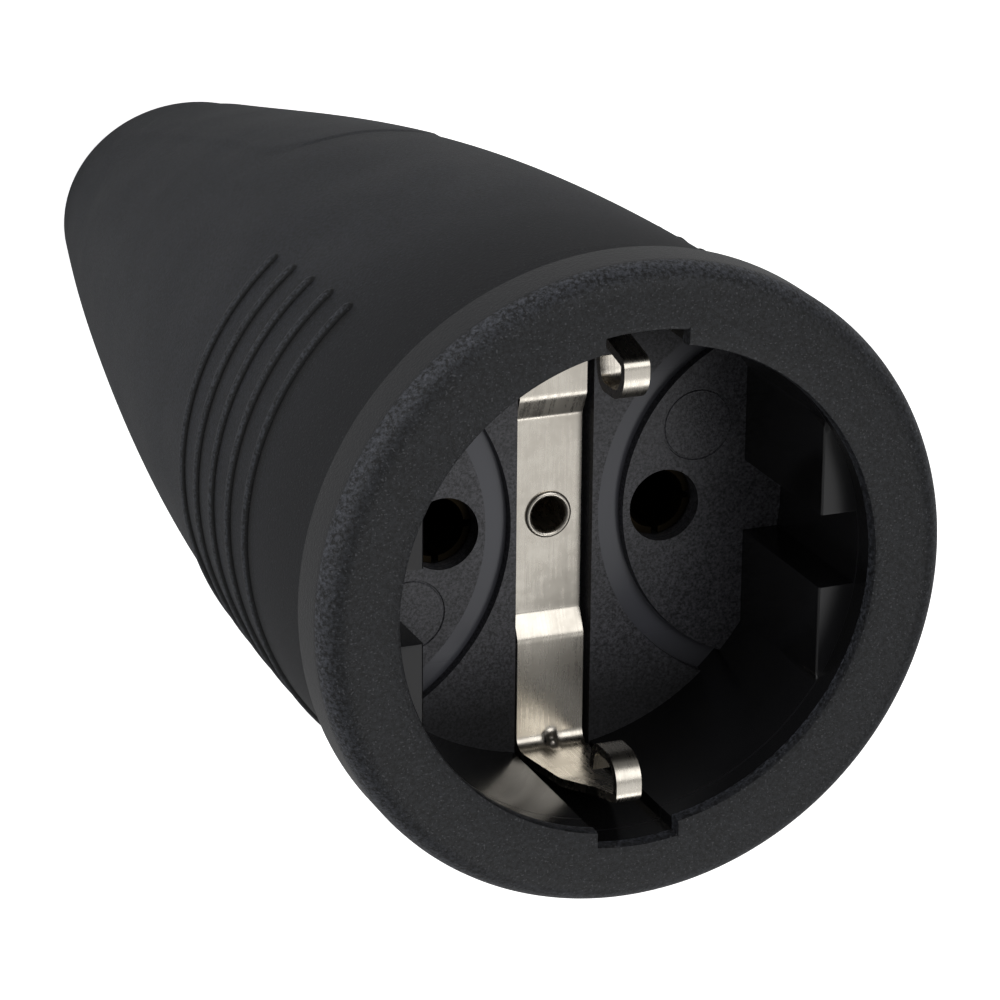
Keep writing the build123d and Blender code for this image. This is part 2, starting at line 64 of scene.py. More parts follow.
# %% Units and main sizes
MM = 0.001
BODY_LENGTH = 112.0
WELL_DEPTH = 17.5
MOUTH_RADIUS = 19.6
WELL_RADIUS = 19.8
FLOOR_HEIGHT = BODY_LENGTH - WELL_DEPTH
PIN_X = 9.5
lowest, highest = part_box("rubber_housing")
print("housing height in mm:", round((highest.z - lowest.z) / MM, 2))

# %% [markdown]
# ## Making a mesh from arrays
# A surface here is a grid of points, one row after another. Neighbouring rows and columns give the
# quads. When a grid closes on itself like a ring, its last row or column is joined to its first.

# %% Grid of quads
def grid_quads(rows, columns, wrap_rows=False, wrap_columns=False):
    """Corner numbers of each quad: a point, the next in its row, and the same two a row on."""
    row, column = np.meshgrid(
        np.arange(rows if wrap_rows else rows - 1),
        np.arange(columns if wrap_columns else columns - 1),
        indexing="ij",
    )
    next_row, next_column = (row + 1) % rows, (column + 1) % columns
    corners = (
        row * columns + column,
        row * columns + next_column,
        next_row * columns + next_column,
        next_row * columns + column,
    )
    return np.stack(corners, axis=-1).reshape(-1, 4)


# %% Faces that point outwards
def face_outwards(points, faces):
    """Turns all faces over if their volume, a sum of corner tetrahedra, comes out negative."""
    first = points[faces[:, 0]]
    volume = 0.0
    for corner in range(1, faces.shape[1] - 1):
        crossed = np.cross(points[faces[:, corner]], points[faces[:, corner + 1]])
        volume += np.sum(first * crossed) / 6
    return faces if volume > 0 else faces[:, ::-1]


# %% Mesh object
def make_piece(name, points, faces, sharp_degrees=35.0):
    """A mesh object at the origin from points in millimetres, smooth but for its sharp edges."""
    faces = face_outwards(points, faces)
    mesh = bpy.data.meshes.new(name)
    mesh.vertices.add(len(points))
    mesh.vertices.foreach_set("co", (points * MM).astype(np.float32).ravel())
    mesh.loops.add(faces.size)
    mesh.loops.foreach_set("vertex_index", faces.astype(np.int32).ravel())
    mesh.polygons.add(len(faces))
    mesh.polygons.foreach_set(
        "loop_start", np.arange(0, faces.size, faces.shape[1], dtype=np.int32)
    )
    mesh.update(calc_edges=True)
    mesh.validate()
    mesh.shade_smooth()
    mesh.set_sharp_from_angle(angle=np.radians(sharp_degrees))
    piece = bpy.data.objects.new(name, mesh)
    bpy.context.scene.collection.objects.link(piece)
    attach(piece, "root")
    print(f"{name}: {len(mesh.vertices)} points, {len(mesh.polygons)} faces")
    return piece


# %% [markdown]
# ## Sheets that share their borders
# A flat moulded floor has grooves and holes that follow circles, so one square grid would give them
# ragged edges. Several small grids that share their border points follow every edge exactly. They
# are joined by finding equal points, and then closed into a solid by a lower copy and a wall along
# each free edge.

# %% Ruled sheet, join and close
def ruled(first, last, rows):
    """Rows of points between two curves: a straight blend from the first to the last."""
    share = np.linspace(0, 1, rows)[:, None, None]
    return first[None] * (1 - share) + last[None] * share


def merge_equal(points, triangles):
    """Equal points become one, and triangles that lose a side go."""
    points, number = np.unique(np.round(points, 4), axis=0, return_inverse=True)
    triangles = number.reshape(-1)[triangles]
    a, b, c = triangles.T
    return points, triangles[(a != b) & (b != c) & (c != a)]


def join_sheets(sheets):
    """One mesh from grids that share border points, with each quad cut into two triangles."""
    points, quads, offset = [], [], 0
    for sheet in sheets:
        rows, columns, numbers = sheet.shape
        points.append(sheet.reshape(-1, numbers))
        quads.append(grid_quads(rows, columns) + offset)
        offset += rows * columns
    quads = np.concatenate(quads)
    triangles = np.concatenate([quads[:, [0, 1, 2]], quads[:, [0, 2, 3]]])
    return merge_equal(np.concatenate(points), triangles)


def close_sheet(points, triangles, lower):
    """A solid between a sheet and a lower copy, turned over, with a wall along free edges."""
    count = len(points)
    edges = np.concatenate([triangles[:, [0, 1]], triangles[:, [1, 2]], triangles[:, [2, 0]]])
    _, first, uses = np.unique(
        np.sort(edges, axis=1), axis=0, return_index=True, return_counts=True
    )
    start, end = edges[first[uses == 1]].T
    walls = [
        np.stack([end, start, start + count], axis=1),
        np.stack([end, start + count, end + count], axis=1),
    ]
    underside = triangles[:, ::-1] + count
    return np.concatenate([points, lower]), np.concatenate([triangles, underside, *walls])


# %% [markdown]
# ## The rubber sleeve
# The real sleeve is one rubber moulding: an oval tail that swells to a round collar, with raised
# grip ribs and a low thumb pad on two opposite sides. Every cut across it is a closed outline round
# one axis, so the whole skin is a grid of angle by station: out over the tail, along the outside,
# over the collar's round edge, into the mouth and back down the inside. A grid keeps the ribs crisp
# without any boolean cuts. The height of the ribs is also kept on the points, because the rubber is
# coarser on their crests, and the crests get a painted highlight and the flanks painted shade.

# %% Angles round the axis
NOTCH_HALF = 3.36
NOTCH_RADIUS = 20.8
RIB_INSET = 15.6


def all_quarters(degrees):
    """The same angles in all four quarters, so a list for one corner serves every corner."""
    degrees = np.asarray(degrees)
    return np.concatenate([degrees, 180 - degrees, 180 + degrees, 360 - degrees]) % 360


notch_outer = np.degrees(np.arccos(NOTCH_HALF / NOTCH_RADIUS))
notch_inner = np.degrees(np.arccos(NOTCH_HALF / MOUTH_RADIUS))
sleeve_angles = np.unique(
    np.round(
        np.concatenate(
            [
                np.arange(0, 360, 1.5),
                all_quarters(np.linspace(notch_inner, notch_outer, 3)),
                all_quarters(np.arange(46.5, 53.5, 0.28)),
            ]
        ),
        4,
    )
)
sleeve_turn = np.radians(sleeve_angles)
print("angles round the sleeve:", len(sleeve_turn))


# %% Outlines across the axis
def oval_radius(turn, half_x, half_y):
    """Distance from the axis to an ellipse, seen at an angle: the product of its half sizes over
    the root of the squared sum of each half size times the other direction's share."""
    return half_x * half_y / np.hypot(half_y * np.cos(turn), half_x * np.sin(turn))


def notched_radius(turn, round_radius, notch_radius=NOTCH_RADIUS, half=NOTCH_HALF):
    """Distance from the axis to the edge of mouth or well: a circle with a notch at the top and one
    at the bottom, whose sides are straight lines at a fixed distance from the middle."""
    across = np.abs(np.cos(turn)) + 1e-9
    side = half / across
    return np.clip(side, round_radius, notch_radius)


# %% Smooth curve through the oval sections
def smooth_through(places, values, wanted):
    """A natural cubic spline: its bend at each place solves a small set of linear equations, and
    between two places it is the straight blend plus a cubic share of both bends."""
    gap = np.diff(places)
    slope = np.diff(values) / gap
    size = len(places)
    system = np.eye(size)
    right = np.zeros(size)
    inner = np.arange(1, size - 1)
    system[inner, inner - 1] = gap[:-1]
    system[inner, inner] = 2 * (gap[:-1] + gap[1:])
    system[inner, inner + 1] = gap[1:]
    right[1:-1] = 6 * np.diff(slope)
    bend = np.linalg.solve(system, right)
    span = np.clip(np.searchsorted(places, wanted) - 1, 0, size - 2)
    b = (wanted - places[span]) / gap[span]
    a = 1 - b
    cubic = ((a**3 - a) * bend[span] + (b**3 - b) * bend[span + 1]) * gap[span] ** 2 / 6
    return a * values[span] + b * values[span + 1] + cubic


SECTION_DEPTHS = np.array([9.6, 30.0, 55.0, 80.0, 100.0, BODY_LENGTH])
SECTION_WIDTHS = np.array([49.0, 48.7, 44.9, 37.6, 30.0, 24.6])
SECTION_HEIGHTS = np.array([48.7, 47.4, 43.3, 34.9, 26.6, 21.8])

# %% Stations along the skin
TAIL_FILLET = 1.5
NECK_DEPTH = 9.6
NECK_RADIUS = 24.8
COLLAR_DEPTH = 5.6
COLLAR_RADIUS = 25.83
COLLAR_FILLET = 2.2
COLLAR_BACK_EDGE = 0.12
RIM_INNER = 21.4
MOUTH_EDGE, MOUTH_EDGE_MIDDLE = 0.35, 0.1025
LIP_DEPTH = 1.2
SEAT_RADIUS, SEAT_END = 21.9, 33.0
SEAT_RING_FRONT, SEAT_RING_BACK, SEAT_RING_REACH = 10.4, 13.1, 0.9
HOLLOW_RADIUS, HOLLOW_END = 18.3, 63.0
BORE_RADIUS, BORE_START, BORE_LEAD_IN = 6.75, 97.0, 0.4
GRIP_FRONT, GRIP_MIDDLE, GRIP_BACK, GRIP_REACH = 98.5, 99.25, 100.0, 0.75
RIB_FIRST, RIB_PITCH, RIB_COUNT = 21.3, 4.35, 5
RIB_HALF, RIB_HEIGHT = 0.55, 0.4
PAD_FRONT, PAD_BACK, PAD_HALF, PAD_CORNER, PAD_HEIGHT = 60.0, 104.0, 8.0, 5.0, 0.15
PAD_SOFTNESS, PAD_EDGE_REACH = 0.35, 0.6

rib_depths = RIB_FIRST + RIB_PITCH * np.arange(RIB_COUNT)
rib_stations = (rib_depths[:, None] + RIB_HALF * np.sin(np.linspace(-1.72, 1.72, 15))[None]).ravel()
outer_depths = np.unique(
    np.concatenate(
        [
            np.linspace(NECK_DEPTH + 0.25, BODY_LENGTH - TAIL_FILLET, 84),
            rib_stations,
            PAD_FRONT + np.linspace(-PAD_EDGE_REACH, PAD_EDGE_REACH, 5),
            PAD_BACK + np.linspace(-PAD_EDGE_REACH, PAD_EDGE_REACH, 5),
        ]
    )
)[::-1]
print("stations along the outside:", len(outer_depths))


# %% Relief on the sleeve
def rounded_window(across, depth, half, front, back, corner):
    """Signed distance to a rectangle with round corners, negative inside: how far a point lies
    beyond the rectangle shrunk by the corner radius, less that radius."""
    beyond_x = np.abs(across) - (half - corner)
    beyond_y = np.abs(depth - (front + back) / 2) - ((back - front) / 2 - corner)
    outside = np.hypot(np.maximum(beyond_x, 0), np.maximum(beyond_y, 0))
    return outside + np.minimum(np.maximum(beyond_x, beyond_y), 0) - corner


def soft_step(value, softness):
    """Rises from 0 to 1 as the value goes from minus to plus the softness, level at both ends."""
    share = np.clip((value + softness) / (2 * softness), 0, 1)
    return share * share * (3 - 2 * share)


def rib_share(turn, depth, radius):
    """Height of the ribs, from 0 on the sleeve to 1 on a crest. A rib is half an ellipse across,
    and its end is the same ellipse turned, so that it runs out in a round nose."""
    across = radius * np.cos(turn)
    up_rib = (depth[..., None] - rib_depths) / RIB_HALF
    along_rib = np.maximum(RIB_INSET + RIB_HALF - np.abs(across), 0)[..., None] / RIB_HALF
    return np.sqrt(np.clip(1 - up_rib**2 - along_rib**2, 0, None)).sum(axis=-1)


def pad_share(turn, depth, radius):
    """Height of the pads, from 0 on the sleeve to 1 inside a rectangle with round corners."""
    window = rounded_window(radius * np.cos(turn), depth, PAD_HALF, PAD_FRONT, PAD_BACK, PAD_CORNER)
    return soft_step(-window, PAD_SOFTNESS)


# %% Skin of the sleeve
def arc_stations(centre_radius, centre_depth, size, start, end, count):
    """Radii and depths of an arc in a plane through the axis, its angle from straight out."""
    bend = np.radians(np.linspace(start, end, count))
    return centre_radius + size * np.cos(bend), centre_depth - size * np.sin(bend)


def all_round(values):
    """One row for each value, the same at every angle round the sleeve."""
    return np.repeat(values[:, None], len(sleeve_turn), axis=1)


def round_rings(profile):
    """Rings of constant radius: one row of points for each pair of a radius and a depth."""
    radii, depths = np.asarray(profile, dtype=float).T
    return all_round(radii), all_round(depths)


outer_x = smooth_through(SECTION_DEPTHS, SECTION_WIDTHS / 2, outer_depths)
outer_y = smooth_through(SECTION_DEPTHS, SECTION_HEIGHTS / 2, outer_depths)
depth_grid = all_round(outer_depths)
base_radius = oval_radius(sleeve_turn[None], outer_x[:, None], outer_y[:, None])
ribs = rib_share(sleeve_turn[None], depth_grid, base_radius)
pads = pad_share(sleeve_turn[None], depth_grid, base_radius)
outer_rings = (base_radius + RIB_HEIGHT * ribs + PAD_HEIGHT * pads, depth_grid)

bend = np.radians(np.linspace(-90, 0, 9))[:-1]
tail_inset = TAIL_FILLET * (1 - np.cos(bend))
tail_depth = BODY_LENGTH - TAIL_FILLET - TAIL_FILLET * np.sin(bend)
tail_x, tail_y = (
    smooth_through(SECTION_DEPTHS, size / 2, tail_depth)
    for size in (SECTION_WIDTHS, SECTION_HEIGHTS)
)
tail_rings = (
    oval_radius(sleeve_turn[None], tail_x[:, None], tail_y[:, None]) - tail_inset[:, None],
    all_round(tail_depth),
)

collar_arc = np.stack(
    arc_stations(COLLAR_RADIUS - COLLAR_FILLET, COLLAR_FILLET, COLLAR_FILLET, 0, 90, 12), axis=1
)
front_profile = [
    (NECK_RADIUS, NECK_DEPTH),
    (NECK_RADIUS, COLLAR_DEPTH + COLLAR_BACK_EDGE),
    (NECK_RADIUS + COLLAR_BACK_EDGE, COLLAR_DEPTH),
    (COLLAR_RADIUS - COLLAR_BACK_EDGE, COLLAR_DEPTH),
    (COLLAR_RADIUS, COLLAR_DEPTH - COLLAR_BACK_EDGE),
    *collar_arc,
    (RIM_INNER, 0.0),
]
front_rings = round_rings(front_profile)
lip_steps = [
    (MOUTH_EDGE, 0.0),
    (MOUTH_EDGE_MIDDLE, MOUTH_EDGE_MIDDLE),
    (0.0, MOUTH_EDGE),
    (0.0, LIP_DEPTH),
]
lip_radius = notched_radius(sleeve_turn, MOUTH_RADIUS)
lip_rings = (
    np.stack([lip_radius + inset for inset, depth in lip_steps]),
    np.stack([np.full_like(lip_radius, depth) for inset, depth in lip_steps]),
)
inner_profile = [
    (SEAT_RADIUS, LIP_DEPTH),
    (SEAT_RADIUS, SEAT_RING_FRONT),
    (SEAT_RADIUS + SEAT_RING_REACH, SEAT_RING_FRONT),
    (SEAT_RADIUS + SEAT_RING_REACH, SEAT_RING_BACK),
    (SEAT_RADIUS, SEAT_RING_BACK),
    (SEAT_RADIUS, SEAT_END),
    (HOLLOW_RADIUS, SEAT_END),
    (HOLLOW_RADIUS, HOLLOW_END),
    (BORE_RADIUS, BORE_START),
    (BORE_RADIUS, GRIP_FRONT),
    (BORE_RADIUS - GRIP_REACH, GRIP_MIDDLE),
    (BORE_RADIUS, GRIP_BACK),
    (BORE_RADIUS, BODY_LENGTH - BORE_LEAD_IN),
    (BORE_RADIUS + BORE_LEAD_IN, BODY_LENGTH),
]
inner_rings = round_rings(inner_profile)
ring_radius, ring_depth = (
    np.concatenate(rows)
    for rows in zip(tail_rings, outer_rings, front_rings, lip_rings, inner_rings)
)
sleeve_points = np.stack(
    [
        ring_radius * np.cos(sleeve_turn),
        ring_radius * np.sin(sleeve_turn),
        BODY_LENGTH - ring_depth,
    ],
    axis=-1,
)
sleeve_piece = make_piece(
    "rubber_sleeve",
    sleeve_points.reshape(-1, 3),
    grid_quads(*sleeve_points.shape[:2], wrap_rows=True, wrap_columns=True),
)
rib_heights = np.zeros(ring_radius.shape, dtype=np.float32)
rib_heights[len(tail_depth) : len(tail_depth) + len(ribs)] = ribs
sleeve_piece.data.attributes.new("rib", "FLOAT", "POINT").data.foreach_set(
    "value", rib_heights.ravel()
)
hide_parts("rubber_housing")

# %% [markdown]
# ## The moulded well
# The insert is hard plastic: a round wall with a notch behind each spring clip and four guide ribs
# that key the plug. The wall is again a closed grid of angle by station. The ribs are only another
# outline: where a flat lies nearer to the axis than the round wall, the flat wins.

# %% Outline of the wall with its guide ribs
GUIDE_FLAT = 16.53
GUIDE_GAP_HALF = 3.0
GUIDE_FRONT = 3.4
guide_corner = np.degrees(np.arctan2(GUIDE_GAP_HALF, GUIDE_FLAT))
guide_root = np.degrees(np.arcsin(GUIDE_GAP_HALF / WELL_RADIUS))
guide_end = np.degrees(np.arccos(GUIDE_FLAT / WELL_RADIUS))
wall_turn = np.radians(
    np.unique(
        np.round(
            np.concatenate(
                [
                    np.arange(0, 360, 1.25),
                    all_quarters(
                        np.degrees(
                            np.arccos(NOTCH_HALF / np.linspace(WELL_RADIUS, NOTCH_RADIUS, 3))
                        )
                    ),
                    all_quarters(np.linspace(guide_root, guide_corner, 4)),
                    all_quarters([guide_end]),
                ]
            ),
            4,
        )
    )
)


def guided_radius(turn):
    """Distance from the axis to the wall with its ribs: the flat of a rib, or the side of the gap
    between two ribs, where either is nearer than the round wall."""
    across, along = np.abs(np.cos(turn)) + 1e-9, np.abs(np.sin(turn)) + 1e-9
    in_gap = GUIDE_FLAT * along < GUIDE_GAP_HALF * across
    straight = np.where(in_gap, GUIDE_GAP_HALF / along, GUIDE_FLAT / across)
    return np.where(
        along > across, notched_radius(turn, WELL_RADIUS), np.minimum(straight, WELL_RADIUS)
    )


print("rib reach in mm:", round(float(WELL_RADIUS - guided_radius(np.radians(guide_corner))), 2))

# %% Wall of the well
FLOOR_BACK = 21.5
SKIRT_DEPTH = 33.0
WALL_OUTER = 21.8
SKIRT_INNER = 20.4
RIB_FACE_EDGE, RIB_FACE_STEP = 0.15, 0.05
WALL_FOOT, WALL_ROW_LOW, WALL_ROW_HIGH, WALL_ROW_FRONT, WALL_GAP = 18.4, 14.0, 9.0, 2.6, 0.05
KEY_RING_FRONT, KEY_RING_BACK, KEY_RING_REACH = 10.5, 13.0, 0.9

guided, plain = guided_radius(wall_turn), notched_radius(wall_turn, WELL_RADIUS)
edge = np.minimum(guided + RIB_FACE_EDGE, plain)
even = np.ones_like(wall_turn)
wall_rows = [
    (guided, WALL_FOOT),
    (guided, WALL_ROW_LOW),
    (guided, WALL_ROW_HIGH),
    (guided, GUIDE_FRONT + RIB_FACE_EDGE),
    (edge, GUIDE_FRONT),
    (plain, GUIDE_FRONT - RIB_FACE_STEP),
    (plain, WALL_ROW_FRONT),
    (plain, LIP_DEPTH),
    (even * WALL_OUTER, LIP_DEPTH),
    (even * WALL_OUTER, KEY_RING_FRONT),
    (even * (WALL_OUTER + KEY_RING_REACH), KEY_RING_FRONT),
    (even * (WALL_OUTER + KEY_RING_REACH), KEY_RING_BACK),
    (even * WALL_OUTER, KEY_RING_BACK),
    (even * WALL_OUTER, SKIRT_DEPTH),
    (even * SKIRT_INNER, SKIRT_DEPTH),
    (even * SKIRT_INNER, FLOOR_BACK - WALL_GAP),
    (guided, FLOOR_BACK - WALL_GAP),
]
wall_radius = np.stack([radius for radius, depth in wall_rows])
wall_depth = np.array([depth for radius, depth in wall_rows])[:, None] * even
wall_points = np.stack(
    [wall_radius * np.cos(wall_turn), wall_radius * np.sin(wall_turn), BODY_LENGTH - wall_depth],
    axis=-1,
)
wall_piece = make_piece(
    "well_wall",
    wall_points.reshape(-1, 3),
    grid_quads(*wall_points.shape[:2], wrap_rows=True, wrap_columns=True),
)
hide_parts("socket_insert")

# %% [markdown]
# ## The floor of the well
# The floor carries the crispest shapes in view: two curved grooves, the pin holes and the recess of
# the strap. Half of it is made of ruled sheets between one curve and the next, from the recess out
# to the far wall, and the other half is the same set turned by half a turn. A point holds its upper
# and its lower place at once, so the underside comes with the same sheets.

# %% Curves of the floor
FLOOR_RADIUS = 20.9
STRAP_SLOT_HALF = 3.25
RECESS_SHALLOW, RECESS_DEEP = 1.2, 2.1
DEEP_HALF = 10.6
GROOVE_CENTRE, GROOVE_OUTER, GROOVE_INNER, GROOVE_DEPTH = 20.2, 16.45, 14.3, 0.8
GROOVE_SLOPE = 0.06
PIN_HOLE, PIN_HOLE_BACK = 3.0, 3.4
PIN_HOLE_STEP = 19.1
RIVET_HOLE = 1.8
MARK_PLACE, MARK_RADIUS = np.array([12.3, 6.5]), 3.0
MARK_SINK = 0.03
MARK_STEPS = [(MARK_RADIUS, 0.0), (2.94, 0.12), (2.86, 0.12), (2.8, MARK_SINK), (0.0, MARK_SINK)]
SHALLOW_ROWS, DEEP_ROWS, SLOT_COLUMNS = 24, 18, 19

slot_end = np.sqrt(FLOOR_RADIUS**2 - STRAP_SLOT_HALF**2)
shallow_rows = np.linspace(slot_end, DEEP_HALF, SHALLOW_ROWS)
deep_rows = np.linspace(DEEP_HALF, STRAP_SLOT_HALF, DEEP_ROWS)
upper_rows = np.concatenate([shallow_rows, deep_rows])
middle_rows = np.linspace(STRAP_SLOT_HALF, -STRAP_SLOT_HALF, SLOT_COLUMNS)
along_slot = np.concatenate([upper_rows, middle_rows[1:-1], -upper_rows[::-1]])
slot_sink = np.full(len(upper_rows), RECESS_SHALLOW)
slot_sink[SHALLOW_ROWS:] = RECESS_DEEP
middle_sink = np.full(SLOT_COLUMNS - 2, RECESS_DEEP)
sink_along = np.concatenate([slot_sink, middle_sink, slot_sink[::-1]])


def double_point(x, y, sink=0.0, back=FLOOR_BACK):
    """Upper and lower place of points on the floor in one row of six numbers: the upper one lies a
    sink below the floor's face, and the lower one at the depth of the back."""
    x, y, sink, back = np.broadcast_arrays(x, y, sink, back)
    return np.stack([x, y, FLOOR_HEIGHT - sink, x, y, BODY_LENGTH - back], axis=-1).astype(float)


def groove_arc(radius, sink):
    """Part of a circle round the groove's centre that lies on the floor, upper end first."""
    meet = (FLOOR_RADIUS**2 - radius**2 + GROOVE_CENTRE**2) / (2 * GROOVE_CENTRE)
    half_angle = np.arccos((GROOVE_CENTRE - meet) / radius)
    turn = np.linspace(np.pi - half_angle, np.pi + half_angle, len(along_slot))
    return double_point(GROOVE_CENTRE + radius * np.cos(turn), radius * np.sin(turn), sink)


# %% Half of the floor
slot_low = double_point(STRAP_SLOT_HALF, along_slot, sink_along)
slot_top = double_point(STRAP_SLOT_HALF, along_slot)
outer_top = groove_arc(GROOVE_OUTER, 0)
outer_low = groove_arc(GROOVE_OUTER - GROOVE_SLOPE, GROOVE_DEPTH)
inner_low = groove_arc(GROOVE_INNER + GROOVE_SLOPE, GROOVE_DEPTH)
inner_top = groove_arc(GROOVE_INNER, 0)
end_turn = np.arctan2(inner_top[-1, 1], inner_top[-1, 0])
far_turn = np.linspace(end_turn, -end_turn, 140)
far_edge = double_point(FLOOR_RADIUS * np.cos(far_turn), FLOOR_RADIUS * np.sin(far_turn))

# a straight cut between mark and pin hole parts the outer field in two, each with one round edge
pin_place = np.array([PIN_X, 0.0])
pin_to_mark = MARK_PLACE - pin_place
cut_offset = (np.linalg.norm(pin_to_mark) + PIN_HOLE - MARK_RADIUS) / 2
pin_to_mark = pin_to_mark / np.linalg.norm(pin_to_mark)
near, far = (
    np.argmin(np.abs((border[:, :2] - pin_place) @ pin_to_mark - cut_offset))
    for border in (inner_top, far_edge)
)
cut_line = np.linspace(inner_top[near], far_edge[far], 30)
mark_loop = np.concatenate([inner_top[: near + 1], cut_line[1:], far_edge[far + 1 :]])
pin_loop = np.concatenate([inner_top[near:], far_edge[1 : far + 1], cut_line[::-1][1:]])


def ring_in(loop, centre, radius, sink=0.0, back=FLOOR_BACK):
    """A circle inside a loop, each point on the line from the centre to a point of the loop."""
    ray = loop[:, :2] - centre
    x, y = (centre + radius * ray / np.linalg.norm(ray, axis=1, keepdims=True)).T
    return double_point(x, y, sink, back)


def pin_ring(lower_radius, back):
    """The rim of the pin hole, with its lower place on a circle of its own."""
    upper = ring_in(pin_loop, pin_place, PIN_HOLE)
    lower = ring_in(pin_loop, pin_place, lower_radius, back=back)
    return np.concatenate([upper[:, :3], lower[:, 3:]], axis=1)


mark_rings = [ring_in(mark_loop, MARK_PLACE, radius, sink) for radius, sink in MARK_STEPS]
pin_rings = [
    pin_ring(PIN_HOLE_BACK, FLOOR_BACK),
    pin_ring(PIN_HOLE_BACK, PIN_HOLE_STEP),
    pin_ring(PIN_HOLE, PIN_HOLE_STEP),
]
half_floor = [
    ruled(slot_low, slot_top, 3),
    ruled(slot_top, outer_top, 12),
    ruled(outer_top, outer_low, 2),
    ruled(outer_low, inner_low, 6),
    ruled(inner_low, inner_top, 2),
    ruled(mark_loop, mark_rings[0], 10),
    *[ruled(outer, inner, 2) for outer, inner in zip(mark_rings[:-2], mark_rings[1:-1])],
    ruled(mark_rings[-2], mark_rings[-1], 6),
    ruled(pin_loop, pin_rings[0], 16),
    *[ruled(upper, lower, 2) for upper, lower in zip(pin_rings[:-1], pin_rings[1:])],
]

# %% Strip under the strap
def square_loop(along):
    """Points round a square, from its upper right corner by the upper left one and back again. The
    places along one side, from its lower to its upper end, give the steps on all four."""
    back, side = along[::-1], np.full(len(along) - 1, along[-1])
    x = np.concatenate([back, -side, along[1:], side])
    y = np.concatenate([along[-1:], side, back[1:], -side, along[1:]])
    return x, y


slot_across = np.linspace(-STRAP_SLOT_HALF, STRAP_SLOT_HALF, SLOT_COLUMNS)
rivet_loop = double_point(*square_loop(slot_across), RECESS_DEEP)
from_rivet = rivet_loop[:, :2] / np.linalg.norm(rivet_loop[:, :2], axis=1, keepdims=True)
rivet_circle = double_point(
    RIVET_HOLE * from_rivet[:, 0], RIVET_HOLE * from_rivet[:, 1], RECESS_DEEP
)
slot_strip = double_point(slot_across[:, None], upper_rows[None], slot_sink[None])


def half_turned(sheet):
    """The same sheet after half a turn round the axis: x and y change sign, above and below."""
    return sheet * np.array([-1, -1, 1, -1, -1, 1])


floor_sheets = half_floor + [half_turned(sheet) for sheet in half_floor]
floor_sheets += [slot_strip, half_turned(slot_strip), ruled(rivet_loop, rivet_circle, 8)]
both_places, floor_faces = join_sheets(floor_sheets)
floor_points, floor_faces = close_sheet(both_places[:, :3], floor_faces, both_places[:, 3:])
floor_piece = make_piece("well_floor", *merge_equal(floor_points, floor_faces))
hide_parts("socket_insert")

# %% [markdown]
# ## Turned rings
# Screw bosses and the hollow rivet are profiles turned round an axis of their own. A closed profile
# turned right round gives a closed ring, with no poles to mend.

# %% Turned ring
def turned_ring(name, profile, place=(0.0, 0.0), count=72):
    """A closed profile of radii and depths, carried round an upright axis at a place."""
    turn = np.linspace(0, 2 * np.pi, count, endpoint=False)
    radius, depth = np.asarray(profile, dtype=float).T
    x = place[0] + radius[:, None] * np.cos(turn)
    y = place[1] + radius[:, None] * np.sin(turn)
    z = np.repeat(BODY_LENGTH - depth[:, None], count, axis=1)
    points = np.stack([x, y, z], axis=-1).reshape(-1, 3)
    return make_piece(name, points, grid_quads(len(radius), count, True, True))


boss_profile = [(1.5, 22.0), (1.5, 29.8), (1.7, 30.0), (3.2, 30.0), (3.2, 21.4), (1.6, 21.4)]
tower_profile = [(3.75, 21.4), (3.75, 29.8), (3.95, 30.0), (4.65, 30.0), (4.65, 21.4)]
BOSS_Y = 12.5
back_pieces = []
for name, profile, place in (
    ("upper_screw_boss", boss_profile, (0, BOSS_Y)),
    ("lower_screw_boss", boss_profile, (0, -BOSS_Y)),
    ("left_contact_tower", tower_profile, (-PIN_X, 0)),
    ("right_contact_tower", tower_profile, (PIN_X, 0)),
):
    back_pieces.append(turned_ring(name, profile, place))
    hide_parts("socket_insert")

# %% [markdown]
# ## The earth strap and its clips
# The strap is one strip of sheet metal: along the floor, down into a joggle in the middle, up both
# sides, and folded over into a spring clip. Its side view is a path of straight runs and arcs. The
# strip is that path with a width that shrinks towards the clip, and a thickness along the path's
# normal.

# %% Side view of the strap
STRAP_HALF, CLIP_HALF, STRIP_HALF_THICK = 2.85, 1.05, 0.35
TAPER_START, TAPER_END = 16.5, 5.6
DIP_MID, FLAT_MID, LEG_FOOT, LEAN_DEPTH = 19.25, 18.35, 19.75, 11.0
JOGGLE_START, JOGGLE_END = 8.3, 10.2
LEG_TOP, FOLD_MID, NOSE, NOSE_DROP = 17.75, 2.25, 14.85, 4.25
TIP_REACH, TIP_DROP = 2.1, 4.75
PATH_STEP = 0.16
strap_corners = [
    (STRAP_HALF, DIP_MID),
    (JOGGLE_START, DIP_MID),
    (JOGGLE_END, FLAT_MID),
    (LEG_FOOT, FLAT_MID),
    (LEG_FOOT, LEAN_DEPTH),
    (LEG_TOP, FOLD_MID),
    (NOSE, FOLD_MID),
    (NOSE, FOLD_MID + NOSE_DROP),
    (NOSE + TIP_REACH, FOLD_MID + TIP_DROP),
]
strap_bends = [1.0, 1.0, 1.35, 6.0, 0.55, 1.9, 1.2]


